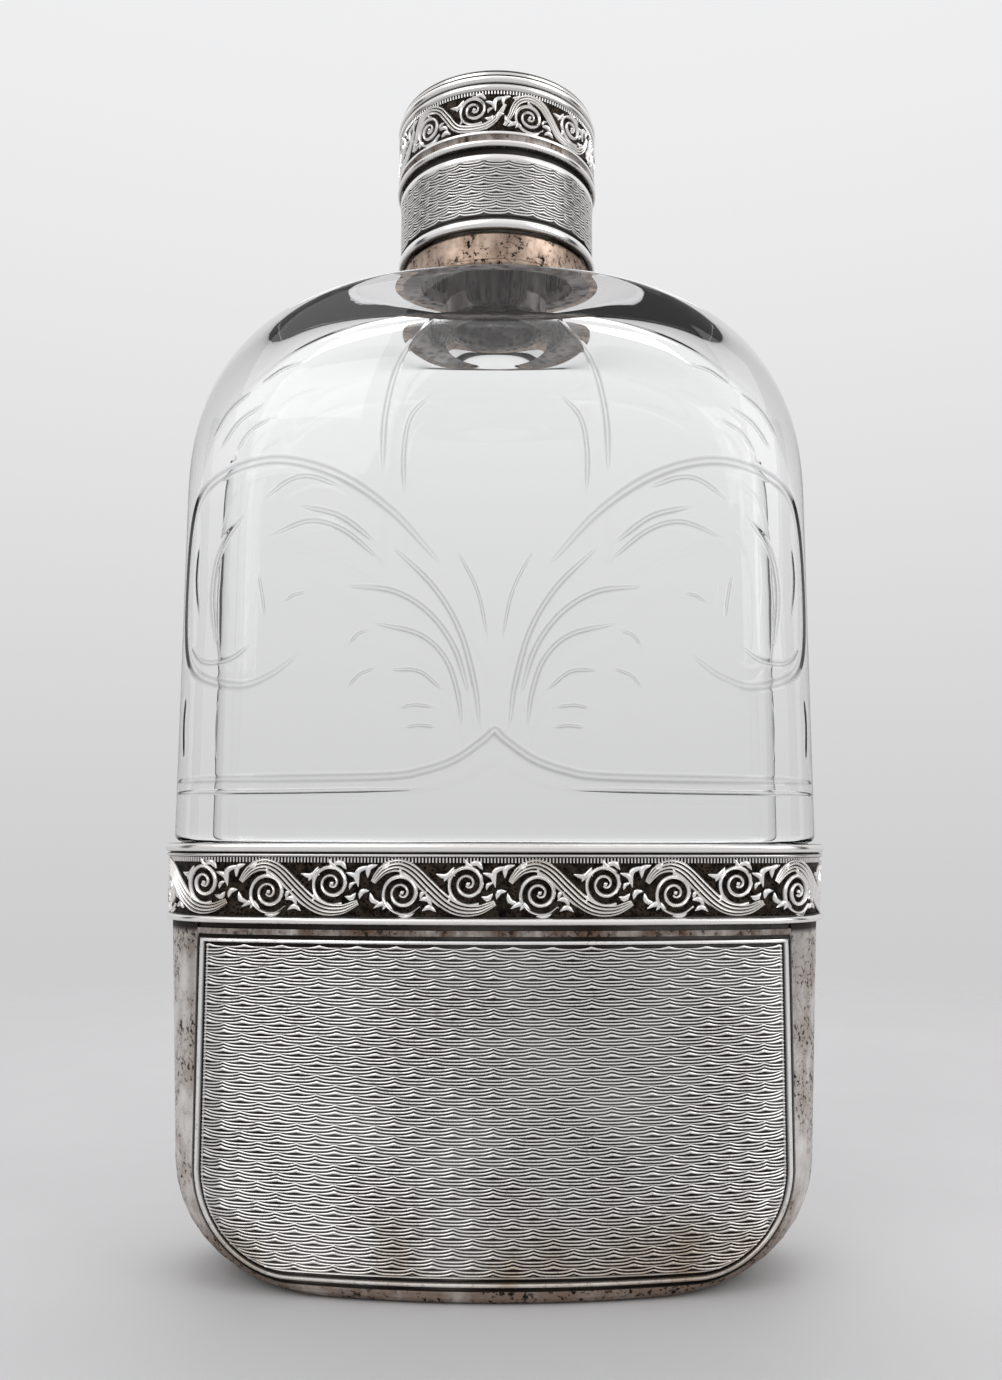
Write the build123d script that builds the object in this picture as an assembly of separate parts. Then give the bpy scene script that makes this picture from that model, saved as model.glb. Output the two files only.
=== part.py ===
from build123d import *
from math import cos, pi, radians, sin, sqrt
import os

# A glass hip flask in silver mounts: a flat glass bottle, a cup that slips over its lower half and
# a screw cap on a threaded neck sleeve. Millimetres, +Z up, +Y towards the back. The origin is the
# middle of the cup's flat base, on which the flask stands.

# ---- Driving dimensions -------------------------------------------------------------------------
# Every level section of the bottle and the cup is a lens: one broad arc front and back and one
# small arc at each side, which meet where the surface has turned this far from facing the front.
LENS_TURN = radians(11.5)

# Cup, outside
CUP_HEIGHT = 48.1
CUP_HALF_WIDTH = 36.4       # at the base, before its corners are rounded
CUP_HALF_DEPTH = 13.3
SIDE_LEAN = 0.05            # how fast the cup widens with height
FACE_LEAN = 0.0145
CORNER_RADIUS = 12.2        # the two big corners seen from the front
EDGE_RADIUS = 1.3           # the turn from the faces into the base
CUP_WALL = 0.7

# Cup panel frame, seen from the front
PANEL_HALF_WIDTH = 33.4
PANEL_CORNER = 11.4
PANEL_BOTTOM = 1.5

# Border at the cup's rim
LOWER_WIRE = (39.3, 40.2)
SCROLL_FIELD = (40.2, 46.6)
RIM_WIRE = (46.6, CUP_HEIGHT)
FIELD_PROUD = 0.45
WIRE_PROUD = 0.8

# Glass bottle
FIT_GAP = 0.35              # between the bottle's foot and the inside of the cup
FOOT_BOTTOM = 6.3
FOOT_ROUND = 3.0
LEDGE = 48.3                # the bottle's ledge stands just clear of the cup's rim
LEDGE_ROUND = 0.8
GLASS_HALF_WIDTH = 38.5
GLASS_HALF_DEPTH = 13.5
SHOULDER_START = 90.0
SHOULDER_TOP = 116.2
SHOULDER_TOP_HALF = (14.5, 12.3)
SHOULDER_POWER = 2.4        # squarer than a plain quarter ellipse, whose power is 2
FACE_TURN_START = 97.0      # above this the faces draw in towards the neck
FACE_POWER = 2.0
CAVITY_HALF = (34.4, 10.0)
CAVITY_FLOOR = 10.8
CAVITY_CORNER = 12.0
CAVITY_SHOULDER = (88.0, 111.8)
CAVITY_TOP_HALF = (8.0, 6.6)
NECK_RADIUS = 9.0
BORE_RADIUS = 6.0
LIP_TOP = 134.3
LIP_ROUND = 0.8

# Neck mounts
COLLAR_TOP = 120.6
COLLAR_RADIUS = 11.9
COLLAR_WALL = 0.8
FOOT_WIRE_HEIGHT = 0.9
FOOT_WIRE_PROUD = 0.45
CEMENT = 0.6
SLEEVE_TOP = 133.6
SLEEVE_WALL = 0.7

# Screw thread: both ridges share one lead and run right-handed
LEAD = 4.0
RIDGE_HEIGHT = 0.5
RIDGE_ROOT = 1.4
RIDGE_CREST = 0.7
THREAD_GAP = 0.15
NECK_THREAD_START = 123.6
NECK_THREAD_TURNS = 2.0
CAP_THREAD_TURNS = 1.75

# Screw cap
CAP_BOTTOM = 120.8
BEAD_TOP = 122.0
SKIRT_RADIUS = 12.4
SKIRT_WALL = 0.6
CAP_LOWER_WIRE = (131.1, 133.0)
CAP_FIELD = (133.0, 138.3)
CAP_UPPER_WIRE = (138.3, 140.2)
CAP_FIELD_PROUD = 0.3
CAP_WIRE_PROUD = 0.5
BEAD_PROUD = 0.3
LINER = (122.4, 134.0)
CROWN_EDGE = (140.2, 141.2)
CROWN_PROUD = 0.2
CROWN_SHEET = 0.9
CROWN_ROUND = 0.5
OVERALL_HEIGHT = 142.5

# Cork seal under the crown
CORK = (134.4, 138.6)
CORK_RADIUS = 11.5
PLATE_THICKNESS = 0.6


# ---- Shared shapes ------------------------------------------------------------------------------
def lens_face(half_width, half_depth, z):
    """A lens-shaped face at height z."""
    spread = (half_width - half_depth) / (sin(LENS_TURN) + cos(LENS_TURN) - 1)
    side_radius = half_width - spread * sin(LENS_TURN)
    x = (side_radius + spread) * sin(LENS_TURN)
    y = side_radius * cos(LENS_TURN)
    edges = [
        ThreePointArc((x, -y), (half_width, 0), (x, y)),
        ThreePointArc((x, y), (0, half_depth), (-x, y)),
        ThreePointArc((-x, y), (-half_width, 0), (-x, -y)),
        ThreePointArc((-x, -y), (0, -half_depth), (x, -y)),
    ]
    return Plane.XY.offset(z) * make_face(edges)


def stack(section, heights):
    """A solid through the lens sections that section(z) gives at the listed heights."""
    return loft([lens_face(*section(z), z) for z in heights], ruled=True)


def round_off(rise, radius):
    """How far a rounded edge draws in at the given rise above its start."""
    if rise >= radius:
        return 0.0
    return radius - sqrt(max(0.0, radius**2 - (radius - rise) ** 2))


def arc_heights(bottom, radius, steps):
    """Heights that divide a quarter-round edge into equal turns, from its bottom."""
    return [bottom + radius * (1 - cos(i * pi / 2 / steps)) for i in range(steps + 1)]


def ring(inner, outer, low, high):
    """A plain tube about the neck's axis."""
    height = high - low
    tube = Cylinder(outer, height) - Cylinder(inner, height)
    return Pos(0, 0, (low + high) / 2) * tube


def turned(points):
    """A solid turned about the neck's axis from an outline of (radius, height) points."""
    outline = make_face(Polyline(*[(r, 0, z) for r, z in points], close=True))
    return revolve(outline, Axis.Z)


def turned_bead(inner, low, high, proud):
    """A ring about the neck's axis with a rounded outer face."""
    middle = (low + high) / 2
    edge = inner + proud / 2
    lines = [
        Line((inner, 0, high), (inner, 0, low)),
        Line((inner, 0, low), (edge, 0, low)),
        ThreePointArc((edge, 0, low), (inner + proud, 0, middle), (edge, 0, high)),
        Line((edge, 0, high), (inner, 0, high)),
    ]
    return revolve(make_face(lines), Axis.Z)


def disc(radius, low, high):
    """A plain round disc about the neck's axis."""
    return Pos(0, 0, (low + high) / 2) * Cylinder(radius, high - low)


# ---- Cup ----------------------------------------------------------------------------------------
def cup_section(z, inset=0.0):
    """Half width and half depth of the cup at height z, a given depth inside its surface."""
    width = CUP_HALF_WIDTH + SIDE_LEAN * z - inset
    depth = CUP_HALF_DEPTH + FACE_LEAN * z - inset
    return (
        width - round_off(z - inset, CORNER_RADIUS - inset),
        depth - round_off(z - inset, EDGE_RADIUS - inset),
    )


def cup_solid(inset, top):
    """The cup's outer form, or the form a given depth inside it, filled up to the top."""
    edge = arc_heights(inset, EDGE_RADIUS - inset, 4)
    corner = arc_heights(inset, CORNER_RADIUS - inset, 9)
    heights = edge + [z for z in corner if z > edge[-1] + 0.3] + [top]
    return stack(lambda z: cup_section(z, inset), heights)


def panel_prism():
    """The panel's front outline, run right through the flask from front to back."""
    half, low, high = PANEL_HALF_WIDTH, PANEL_BOTTOM, CUP_HEIGHT + 1
    outline = make_face(Polyline((-half, low), (half, low), (half, high), (-half, high), close=True))
    corners = outline.vertices().filter_by(lambda v: v.Y < low + 1)
    outline = fillet(corners, PANEL_CORNER)
    return extrude(Plane.XZ * outline, CUP_HALF_DEPTH * 2, both=True)


def cup_sheets():
    """The front and back sheets and the U-shaped strip that joins them round the sides and base."""
    overshoot = 1.0
    hollow = cup_solid(CUP_WALL, CUP_HEIGHT + overshoot)
    shell = cup_solid(0, CUP_HEIGHT) - hollow
    prism = panel_prism()
    halves = {}
    for name, side in (("cup_front_panel", -1), ("cup_back_panel", 1)):
        half_space = Pos(0, side * 50, 50) * Box(200, 100, 200)
        halves[name] = shell & (prism & half_space)
    return {**halves, "cup_edge_strip": shell - prism}


def cup_ring(low, high, proud):
    """A band round the cup: from the cup's surface out to a given height above it."""
    outer = stack(lambda z: tuple(half + proud for half in cup_section(z)), [low, high])
    return outer - cup_solid(0, CUP_HEIGHT)


def cup_wire(low, high, proud):
    """A wire round the cup with a rounded outer face."""
    middle = (low + high) / 2
    half = (high - low) / 2

    def section(z):
        """The wire's outer section: half a turn of an ellipse between its two edges."""
        swell = sqrt(max(0.0, 1 - ((z - middle) / half) ** 2))
        return tuple(reach + proud * (0.35 + 0.65 * swell) for reach in cup_section(z))

    steps = 6
    heights = [middle - half * cos(i * pi / steps) for i in range(steps + 1)]
    return stack(section, heights) - cup_solid(0, CUP_HEIGHT)


# ---- Glass bottle -------------------------------------------------------------------------------
def foot_section(z):
    """The bottle's foot, which stands inside the cup."""
    width, depth = cup_section(z, CUP_WALL + FIT_GAP)
    draw = round_off(z - FOOT_BOTTOM, FOOT_ROUND)
    return width - draw, depth - draw


def arch(z, start, top, wide, narrow, power):
    """A half width that stays wide up to the start and then arches over to narrow at the top."""
    if z <= start:
        return wide
    rise = min(1.0, (z - start) / (top - start))
    return narrow + (wide - narrow) * (1 - rise**power) ** (1 / power)


def body_section(z):
    """The bottle above the ledge, up to its shoulder."""
    draw = round_off(z - LEDGE, LEDGE_ROUND)
    top_width, top_depth = SHOULDER_TOP_HALF
    width = arch(
        z, SHOULDER_START, SHOULDER_TOP, GLASS_HALF_WIDTH, top_width, SHOULDER_POWER
    )
    depth = arch(z, FACE_TURN_START, SHOULDER_TOP, GLASS_HALF_DEPTH, top_depth, FACE_POWER)
    return width - draw, depth - draw


def cavity_section(z):
    """The space for the drink."""
    start, top = CAVITY_SHOULDER
    width = arch(z, start, top, CAVITY_HALF[0], CAVITY_TOP_HALF[0], SHOULDER_POWER)
    depth = arch(z, start, top, CAVITY_HALF[1], CAVITY_TOP_HALF[1], FACE_POWER)
    return (
        width - round_off(z - CAVITY_FLOOR, CAVITY_CORNER),
        depth - round_off(z - CAVITY_FLOOR, FOOT_ROUND),
    )


def shoulder_heights(start, top, steps):
    """Heights that divide an arched shoulder into equal turns."""
    return [start + (top - start) * sin(i * pi / 2 / steps) for i in range(steps + 1)]


def glass_body():
    """One piece of glass: foot, body, shoulders and neck round a smooth cavity."""
    foot = stack(foot_section, arc_heights(FOOT_BOTTOM, FOOT_ROUND, 4) + [13.5, 24.0, LEDGE])
    heights = arc_heights(LEDGE, LEDGE_ROUND, 3) + shoulder_heights(SHOULDER_START, SHOULDER_TOP, 10)
    body = stack(body_section, heights)
    neck = disc(NECK_RADIUS, SHOULDER_TOP - 2, LIP_TOP)
    neck = fillet(neck.edges().group_by(Axis.Z)[-1], LIP_ROUND)
    floor_heights = arc_heights(CAVITY_FLOOR, CAVITY_CORNER, 8)
    cavity = stack(cavity_section, floor_heights + shoulder_heights(*CAVITY_SHOULDER, 9))
    bore = disc(BORE_RADIUS, CAVITY_SHOULDER[1] - 1, LIP_TOP + 1)
    return (foot + body + neck) - cavity - bore


# ---- Neck mounts --------------------------------------------------------------------------------
def neck_cement():
    """The cement that fills the space between the glass neck and its silver mounts."""
    sleeve_inner = NECK_RADIUS + CEMENT
    collar_inner = COLLAR_RADIUS - COLLAR_WALL
    collar_roof = COLLAR_TOP - COLLAR_WALL
    return turned([
        (NECK_RADIUS, SHOULDER_TOP), (collar_inner, SHOULDER_TOP), (collar_inner, collar_roof),
        (sleeve_inner, collar_roof), (sleeve_inner, SLEEVE_TOP - 1), (NECK_RADIUS, SLEEVE_TOP - 1),
    ])


def neck_collar():
    """The plain collar: a short tube on the shoulder with a flat top that runs in to the sleeve."""
    sleeve_inner = NECK_RADIUS + CEMENT
    inner = COLLAR_RADIUS - COLLAR_WALL
    bevel = 0.3
    return turned([
        (inner, SHOULDER_TOP), (COLLAR_RADIUS, SHOULDER_TOP), (COLLAR_RADIUS, COLLAR_TOP - bevel),
        (COLLAR_RADIUS - bevel, COLLAR_TOP), (sleeve_inner, COLLAR_TOP),
        (sleeve_inner, COLLAR_TOP - COLLAR_WALL), (inner, COLLAR_TOP - COLLAR_WALL),
    ])


def thread_ridge(surface, towards, start, turns):
    """A helical ridge on a cylinder; towards is 1 for a ridge outside it and -1 for one inside."""
    sink = 0.1
    root = surface - towards * sink
    crest = surface + towards * RIDGE_HEIGHT
    path = Helix(pitch=LEAD, height=LEAD * turns, radius=surface, center=(0, 0, start))
    profile = Polyline(
        (root, 0, start - RIDGE_ROOT / 2), (crest, 0, start - RIDGE_CREST / 2),
        (crest, 0, start + RIDGE_CREST / 2), (root, 0, start + RIDGE_ROOT / 2), close=True,
    )
    return sweep(make_face(profile), path=path, is_frenet=True)


def neck_thread_sleeve():
    """The silver sleeve on the neck that the cap screws on."""
    inner = NECK_RADIUS + CEMENT
    tube = ring(inner, inner + SLEEVE_WALL, COLLAR_TOP, SLEEVE_TOP)
    return tube + thread_ridge(inner + SLEEVE_WALL, 1, NECK_THREAD_START, NECK_THREAD_TURNS)


# ---- Screw cap ----------------------------------------------------------------------------------
def cap_thread_liner():
    """The threaded lining soldered inside the cap, half a lead out of step with the neck's thread."""
    inner = NECK_RADIUS + CEMENT + SLEEVE_WALL + RIDGE_HEIGHT + THREAD_GAP
    tube = ring(inner, SKIRT_RADIUS - SKIRT_WALL, *LINER)
    start = NECK_THREAD_START + LEAD / 2
    return tube + thread_ridge(inner, -1, start, CAP_THREAD_TURNS)


def cap_moulding(low, high):
    """Two small rounded reeds round the cap, one above the other."""
    middle = (low + high) / 2
    lower = turned_bead(SKIRT_RADIUS, low, middle, CAP_WIRE_PROUD)
    return lower + turned_bead(SKIRT_RADIUS, middle, high, CAP_WIRE_PROUD)


def dome_arc(reach, drop, top):
    """A meridian arc of a dome that falls by drop at the given reach from its crown."""
    radius = (reach**2 + drop**2) / (2 * drop)
    half = reach / 2
    return ThreePointArc(
        (0, 0, top), (half, 0, top - radius + sqrt(radius**2 - half**2)), (reach, 0, top - drop)
    )


def cap_crown():
    """The domed top sheet with a rounded edge, seated on the end of the cap's tube."""
    low, edge = CROWN_EDGE
    outer = SKIRT_RADIUS + CROWN_PROUD
    inner = SKIRT_RADIUS - SKIRT_WALL
    drop = OVERALL_HEIGHT - edge
    under_top = OVERALL_HEIGHT - CROWN_SHEET
    lines = [
        dome_arc(outer - CROWN_ROUND, drop, OVERALL_HEIGHT),
        Line((outer - CROWN_ROUND, 0, edge), (outer, 0, edge - CROWN_ROUND)),
        Line((outer, 0, edge - CROWN_ROUND), (outer, 0, low)),
        Line((outer, 0, low), (inner, 0, low)),
        dome_arc(inner, under_top - low, under_top),
        Line((0, 0, under_top), (0, 0, OVERALL_HEIGHT)),
    ]
    return revolve(make_face(lines), Axis.Z)


# ---- All the pieces -----------------------------------------------------------------------------
def flask_parts():
    """The bottle and the mounts cemented to its neck."""
    foot_wire_top = SHOULDER_TOP + FOOT_WIRE_HEIGHT
    return {
        "glass_body": glass_body(),
        "neck_cement": neck_cement(),
        "neck_collar": neck_collar(),
        "collar_foot_wire": turned_bead(
            COLLAR_RADIUS, SHOULDER_TOP, foot_wire_top, FOOT_WIRE_PROUD
        ),
        "neck_thread_sleeve": neck_thread_sleeve(),
    }


def cap_parts():
    """The screw cap and the cork seal that sits loosely under its crown."""
    tube_inner = SKIRT_RADIUS - SKIRT_WALL
    return {
        "cork_disc": disc(CORK_RADIUS, *CORK),
        "cork_backing_plate": disc(CORK_RADIUS, CORK[1], CORK[1] + PLATE_THICKNESS),
        "cap_tube": ring(tube_inner, SKIRT_RADIUS, BEAD_TOP, CAP_UPPER_WIRE[1]),
        "cap_thread_liner": cap_thread_liner(),
        "cap_rim_bead": turned_bead(tube_inner, CAP_BOTTOM, BEAD_TOP, SKIRT_WALL + BEAD_PROUD),
        "cap_lower_wire": cap_moulding(*CAP_LOWER_WIRE),
        "cap_scroll_band": ring(SKIRT_RADIUS, SKIRT_RADIUS + CAP_FIELD_PROUD, *CAP_FIELD),
        "cap_upper_wire": cap_moulding(*CAP_UPPER_WIRE),
        "cap_crown": cap_crown(),
    }


def cup_parts():
    """The slip-on cup: its three sheets and the border applied round its rim."""
    return {
        **cup_sheets(),
        "cup_lower_wire": cup_wire(*LOWER_WIRE, WIRE_PROUD),
        "cup_scroll_band": cup_ring(*SCROLL_FIELD, FIELD_PROUD),
        "cup_rim_wire": cup_wire(*RIM_WIRE, WIRE_PROUD),
    }


os.makedirs("parts", exist_ok=True)
for name, shape in {**flask_parts(), **cap_parts(), **cup_parts()}.items():
    export_step(shape, f"parts/{name}.step")
    print(name, round(shape.volume, 1), "mm3")
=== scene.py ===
"""A hip flask: a cut-glass bottle with silver neck mounts, a screw cap and a slip-on silver cup.

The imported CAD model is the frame. Sizes here are in millimetres, measured from the middle of the
base: x runs across the flask, y towards its back and z up. A mesh is turned into metres once,
when it is made.
"""

import logging
import math
from dataclasses import dataclass
from enum import Enum
from typing import Callable, Optional, Sequence, Union

import bmesh
import bpy
import numpy as np
from mathutils import Euler, Matrix, Vector
from mathutils.geometry import delaunay_2d_cdt


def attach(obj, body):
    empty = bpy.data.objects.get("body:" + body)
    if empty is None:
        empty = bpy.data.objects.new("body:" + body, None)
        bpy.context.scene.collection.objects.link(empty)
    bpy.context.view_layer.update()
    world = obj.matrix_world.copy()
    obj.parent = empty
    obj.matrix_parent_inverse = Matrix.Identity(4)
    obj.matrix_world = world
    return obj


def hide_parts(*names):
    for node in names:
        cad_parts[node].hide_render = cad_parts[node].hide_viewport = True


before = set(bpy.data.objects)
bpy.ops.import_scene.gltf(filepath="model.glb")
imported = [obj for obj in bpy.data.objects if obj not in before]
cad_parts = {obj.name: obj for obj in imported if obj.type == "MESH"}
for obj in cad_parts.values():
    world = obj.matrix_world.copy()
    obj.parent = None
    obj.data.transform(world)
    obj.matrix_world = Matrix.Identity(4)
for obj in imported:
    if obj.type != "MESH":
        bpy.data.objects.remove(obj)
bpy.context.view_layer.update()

LOG = logging.getLogger("hip_flask")
MM = 0.001
MERGE = 0.0005   # points nearer to each other than this become one

Profile = Sequence[tuple[float, float]]
Section = Callable[[np.ndarray], tuple[np.ndarray, np.ndarray]]
Socket = bpy.types.NodeSocket
Colour = tuple[float, float, float]
Values = dict[str, np.ndarray]

# ---- The flask's lens-shaped section, shared by the glass and the cup ---------------------------
LENS_TURN = math.radians(11.5)   # half of what the shallow front arc turns through

CUP_HALF_WIDTH = 36.4
CUP_HALF_DEPTH = 13.3
CUP_SIDE_LEAN = 0.05
CUP_FACE_LEAN = 0.0145
CUP_CORNER_RADIUS = 12.2
CUP_EDGE_RADIUS = 1.3
CUP_WALL = 0.7
CUP_TOP = 48.1


class Slot(Enum):
    """The record's material slots."""

    GLASS = "glass"
    SILVER = "silver"
    ENGINE_TURNED = "engine_turned_silver"
    SCROLL = "scroll_silver"
    TARNISHED = "tarnished_silver"


class Body(Enum):
    """The bodies that move apart."""

    FLASK = "flask"
    CAP = "cap"
    CUP = "cup"


class Face(Enum):
    """Which broad face of the flask a panel is on."""

    FRONT = 1
    BACK = -1


def fall(rise: Union[float, np.ndarray], radius: float) -> np.ndarray:
    """How far a rounded edge has drawn in.

    Args:
        rise: Height above the start of the round.
        radius: The round's radius.

    Returns:
        The distance inside the full width, nought above the round.
    """
    left = np.clip(radius - np.asarray(rise, float), 0.0, radius)
    return radius - np.sqrt(radius**2 - left**2)


def arch(z: np.ndarray, start: float, top: float, wide: float, narrow: float, power: float) -> np.ndarray:
    """A half width that stays wide up to the start and then arches over to narrow at the top.

    Args:
        z: Heights.
        start: Where the arch springs.
        top: Where it ends.
        wide: Half width below the start.
        narrow: Half width at the top.
        power: 2 for a quarter ellipse, more for a squarer shoulder.

    Returns:
        The half width at each height.
    """
    rise = np.clip((z - start) / (top - start), 0.0, 1.0)
    return narrow + (wide - narrow) * (1 - rise**power) ** (1 / power)


def cup_section(z: np.ndarray, inset: float = 0.0) -> tuple[np.ndarray, np.ndarray]:
    """Half width and half depth of the cup.

    Args:
        z: Heights.
        inset: Depth inside the cup's outer surface.

    Returns:
        The half widths and the half depths.
    """
    z = np.asarray(z, float)
    width = CUP_HALF_WIDTH + CUP_SIDE_LEAN * z - inset - fall(z - inset, CUP_CORNER_RADIUS - inset)
    depth = CUP_HALF_DEPTH + CUP_FACE_LEAN * z - inset - fall(z - inset, CUP_EDGE_RADIUS - inset)
    return width, depth


def lens_arcs(half_width: np.ndarray, half_depth: np.ndarray) -> tuple[np.ndarray, np.ndarray, np.ndarray]:
    """The arcs that make a lens section.

    Args:
        half_width: Half of the section's width.
        half_depth: Half of its depth.

    Returns:
        The distance between arc centres, the side arcs' radius and the face arcs' radius.
    """
    spread = (half_width - half_depth) / (math.sin(LENS_TURN) + math.cos(LENS_TURN) - 1)
    side = half_width - spread * math.sin(LENS_TURN)
    return spread, side, side + spread


def lens_point(half_width: np.ndarray, half_depth: np.ndarray, turn: np.ndarray) -> np.ndarray:
    """Points on a lens section with their outward directions.

    Args:
        half_width: Half of the section's width.
        half_depth: Half of its depth.
        turn: Place round the section: 0 to 1 on the front arc, 1 to 2 on the right side,
            2 to 3 on the back and 3 to 4 on the left side.

    Returns:
        An array whose last axis is x, y, outward x, outward y.
    """
    spread, side, face = lens_arcs(np.asarray(half_width, float), np.asarray(half_depth, float))
    turn = np.mod(np.asarray(turn, float), 4.0)
    arc = np.floor(turn).astype(int)
    share = turn - arc
    quarter = math.pi / 2
    starts = np.array([-quarter - LENS_TURN, -quarter + LENS_TURN, quarter - LENS_TURN, quarter + LENS_TURN])
    sweeps = np.array([2 * LENS_TURN, math.pi - 2 * LENS_TURN] * 2)
    angle = starts[arc] + sweeps[arc] * share
    centre_x = spread * math.sin(LENS_TURN) * np.array([0, 1, 0, -1])[arc]
    centre_y = spread * math.cos(LENS_TURN) * np.array([1, 0, -1, 0])[arc]
    radius = np.where(arc % 2 == 0, face, side)
    out_x, out_y = np.cos(angle), np.sin(angle)
    return np.stack(
        np.broadcast_arrays(centre_x + radius * out_x, centre_y + radius * out_y, out_x, out_y), axis=-1
    )


def face_point(x: np.ndarray, z: np.ndarray, lift: np.ndarray, inset: float = 0.0) -> np.ndarray:
    """Points on the cup's front face.

    Args:
        x: Places across the face.
        z: Heights.
        lift: Distance outside the surface.
        inset: Depth of the surface inside the cup's outer one.

    Returns:
        An array whose last axis is x, y, z.
    """
    width, depth = cup_section(z, inset)
    spread, side, face = lens_arcs(width, depth)
    joint = face * math.sin(LENS_TURN)
    beyond = np.abs(x) > joint
    centre_x = np.where(beyond, np.sign(x) * spread * math.sin(LENS_TURN), 0.0)
    centre_y = np.where(beyond, 0.0, spread * math.cos(LENS_TURN))
    radius = np.where(beyond, side, face)
    out_x = np.clip((x - centre_x) / radius, -1.0, 1.0)
    out_y = -np.sqrt(1 - out_x**2)
    reach = radius + lift
    return np.stack(np.broadcast_arrays(centre_x + reach * out_x, centre_y + reach * out_y, z + 0 * x), -1)


def round_turns(front: int, side: int) -> np.ndarray:
    """Places round a section in order, with so many steps on each face arc and each side arc."""
    face, end = np.arange(front) / front, np.arange(side) / side
    return np.concatenate([face, 1 + end, 2 + face, 3 + end])


def smooth_line(points: Profile, step: float) -> np.ndarray:
    """A smooth line through a few points (a Catmull-Rom spline).

    Args:
        points: The points it passes through.
        step: Distance between the line's own points.

    Returns:
        The line's points, evenly spaced.
    """
    given = np.array(points, float)
    padded = np.vstack([2 * given[0] - given[1], given, 2 * given[-1] - given[-2]])
    share = np.linspace(0, 1, 12, endpoint=False)[:, None]
    runs = []
    for before, start, end, after in zip(padded, padded[1:], padded[2:], padded[3:]):
        runs.append(
            0.5 * (2 * start + (end - before) * share
                   + (2 * before - 5 * start + 4 * end - after) * share**2
                   + (3 * start - before - 3 * end + after) * share**3)
        )
    line = np.vstack(runs + [given[-1:]])
    length = np.concatenate([[0], np.cumsum(np.linalg.norm(np.diff(line, axis=0), axis=1))])
    even = np.linspace(0, length[-1], max(3, int(round(length[-1] / step)) + 1))
    return np.stack([np.interp(even, length, line[:, i]) for i in range(line.shape[1])], axis=1)


def sideways(line: np.ndarray) -> np.ndarray:
    """The direction straight across a flat line, at each of its points."""
    run = np.gradient(line, axis=0)
    return np.column_stack([-run[:, 1], run[:, 0]]) / np.linalg.norm(run, axis=1)[:, None]


def over(points: Profile) -> list[tuple[float, float]]:
    """Heights and reaches turned over into radii and heights."""
    return [(reach, height) for height, reach in points]


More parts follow.
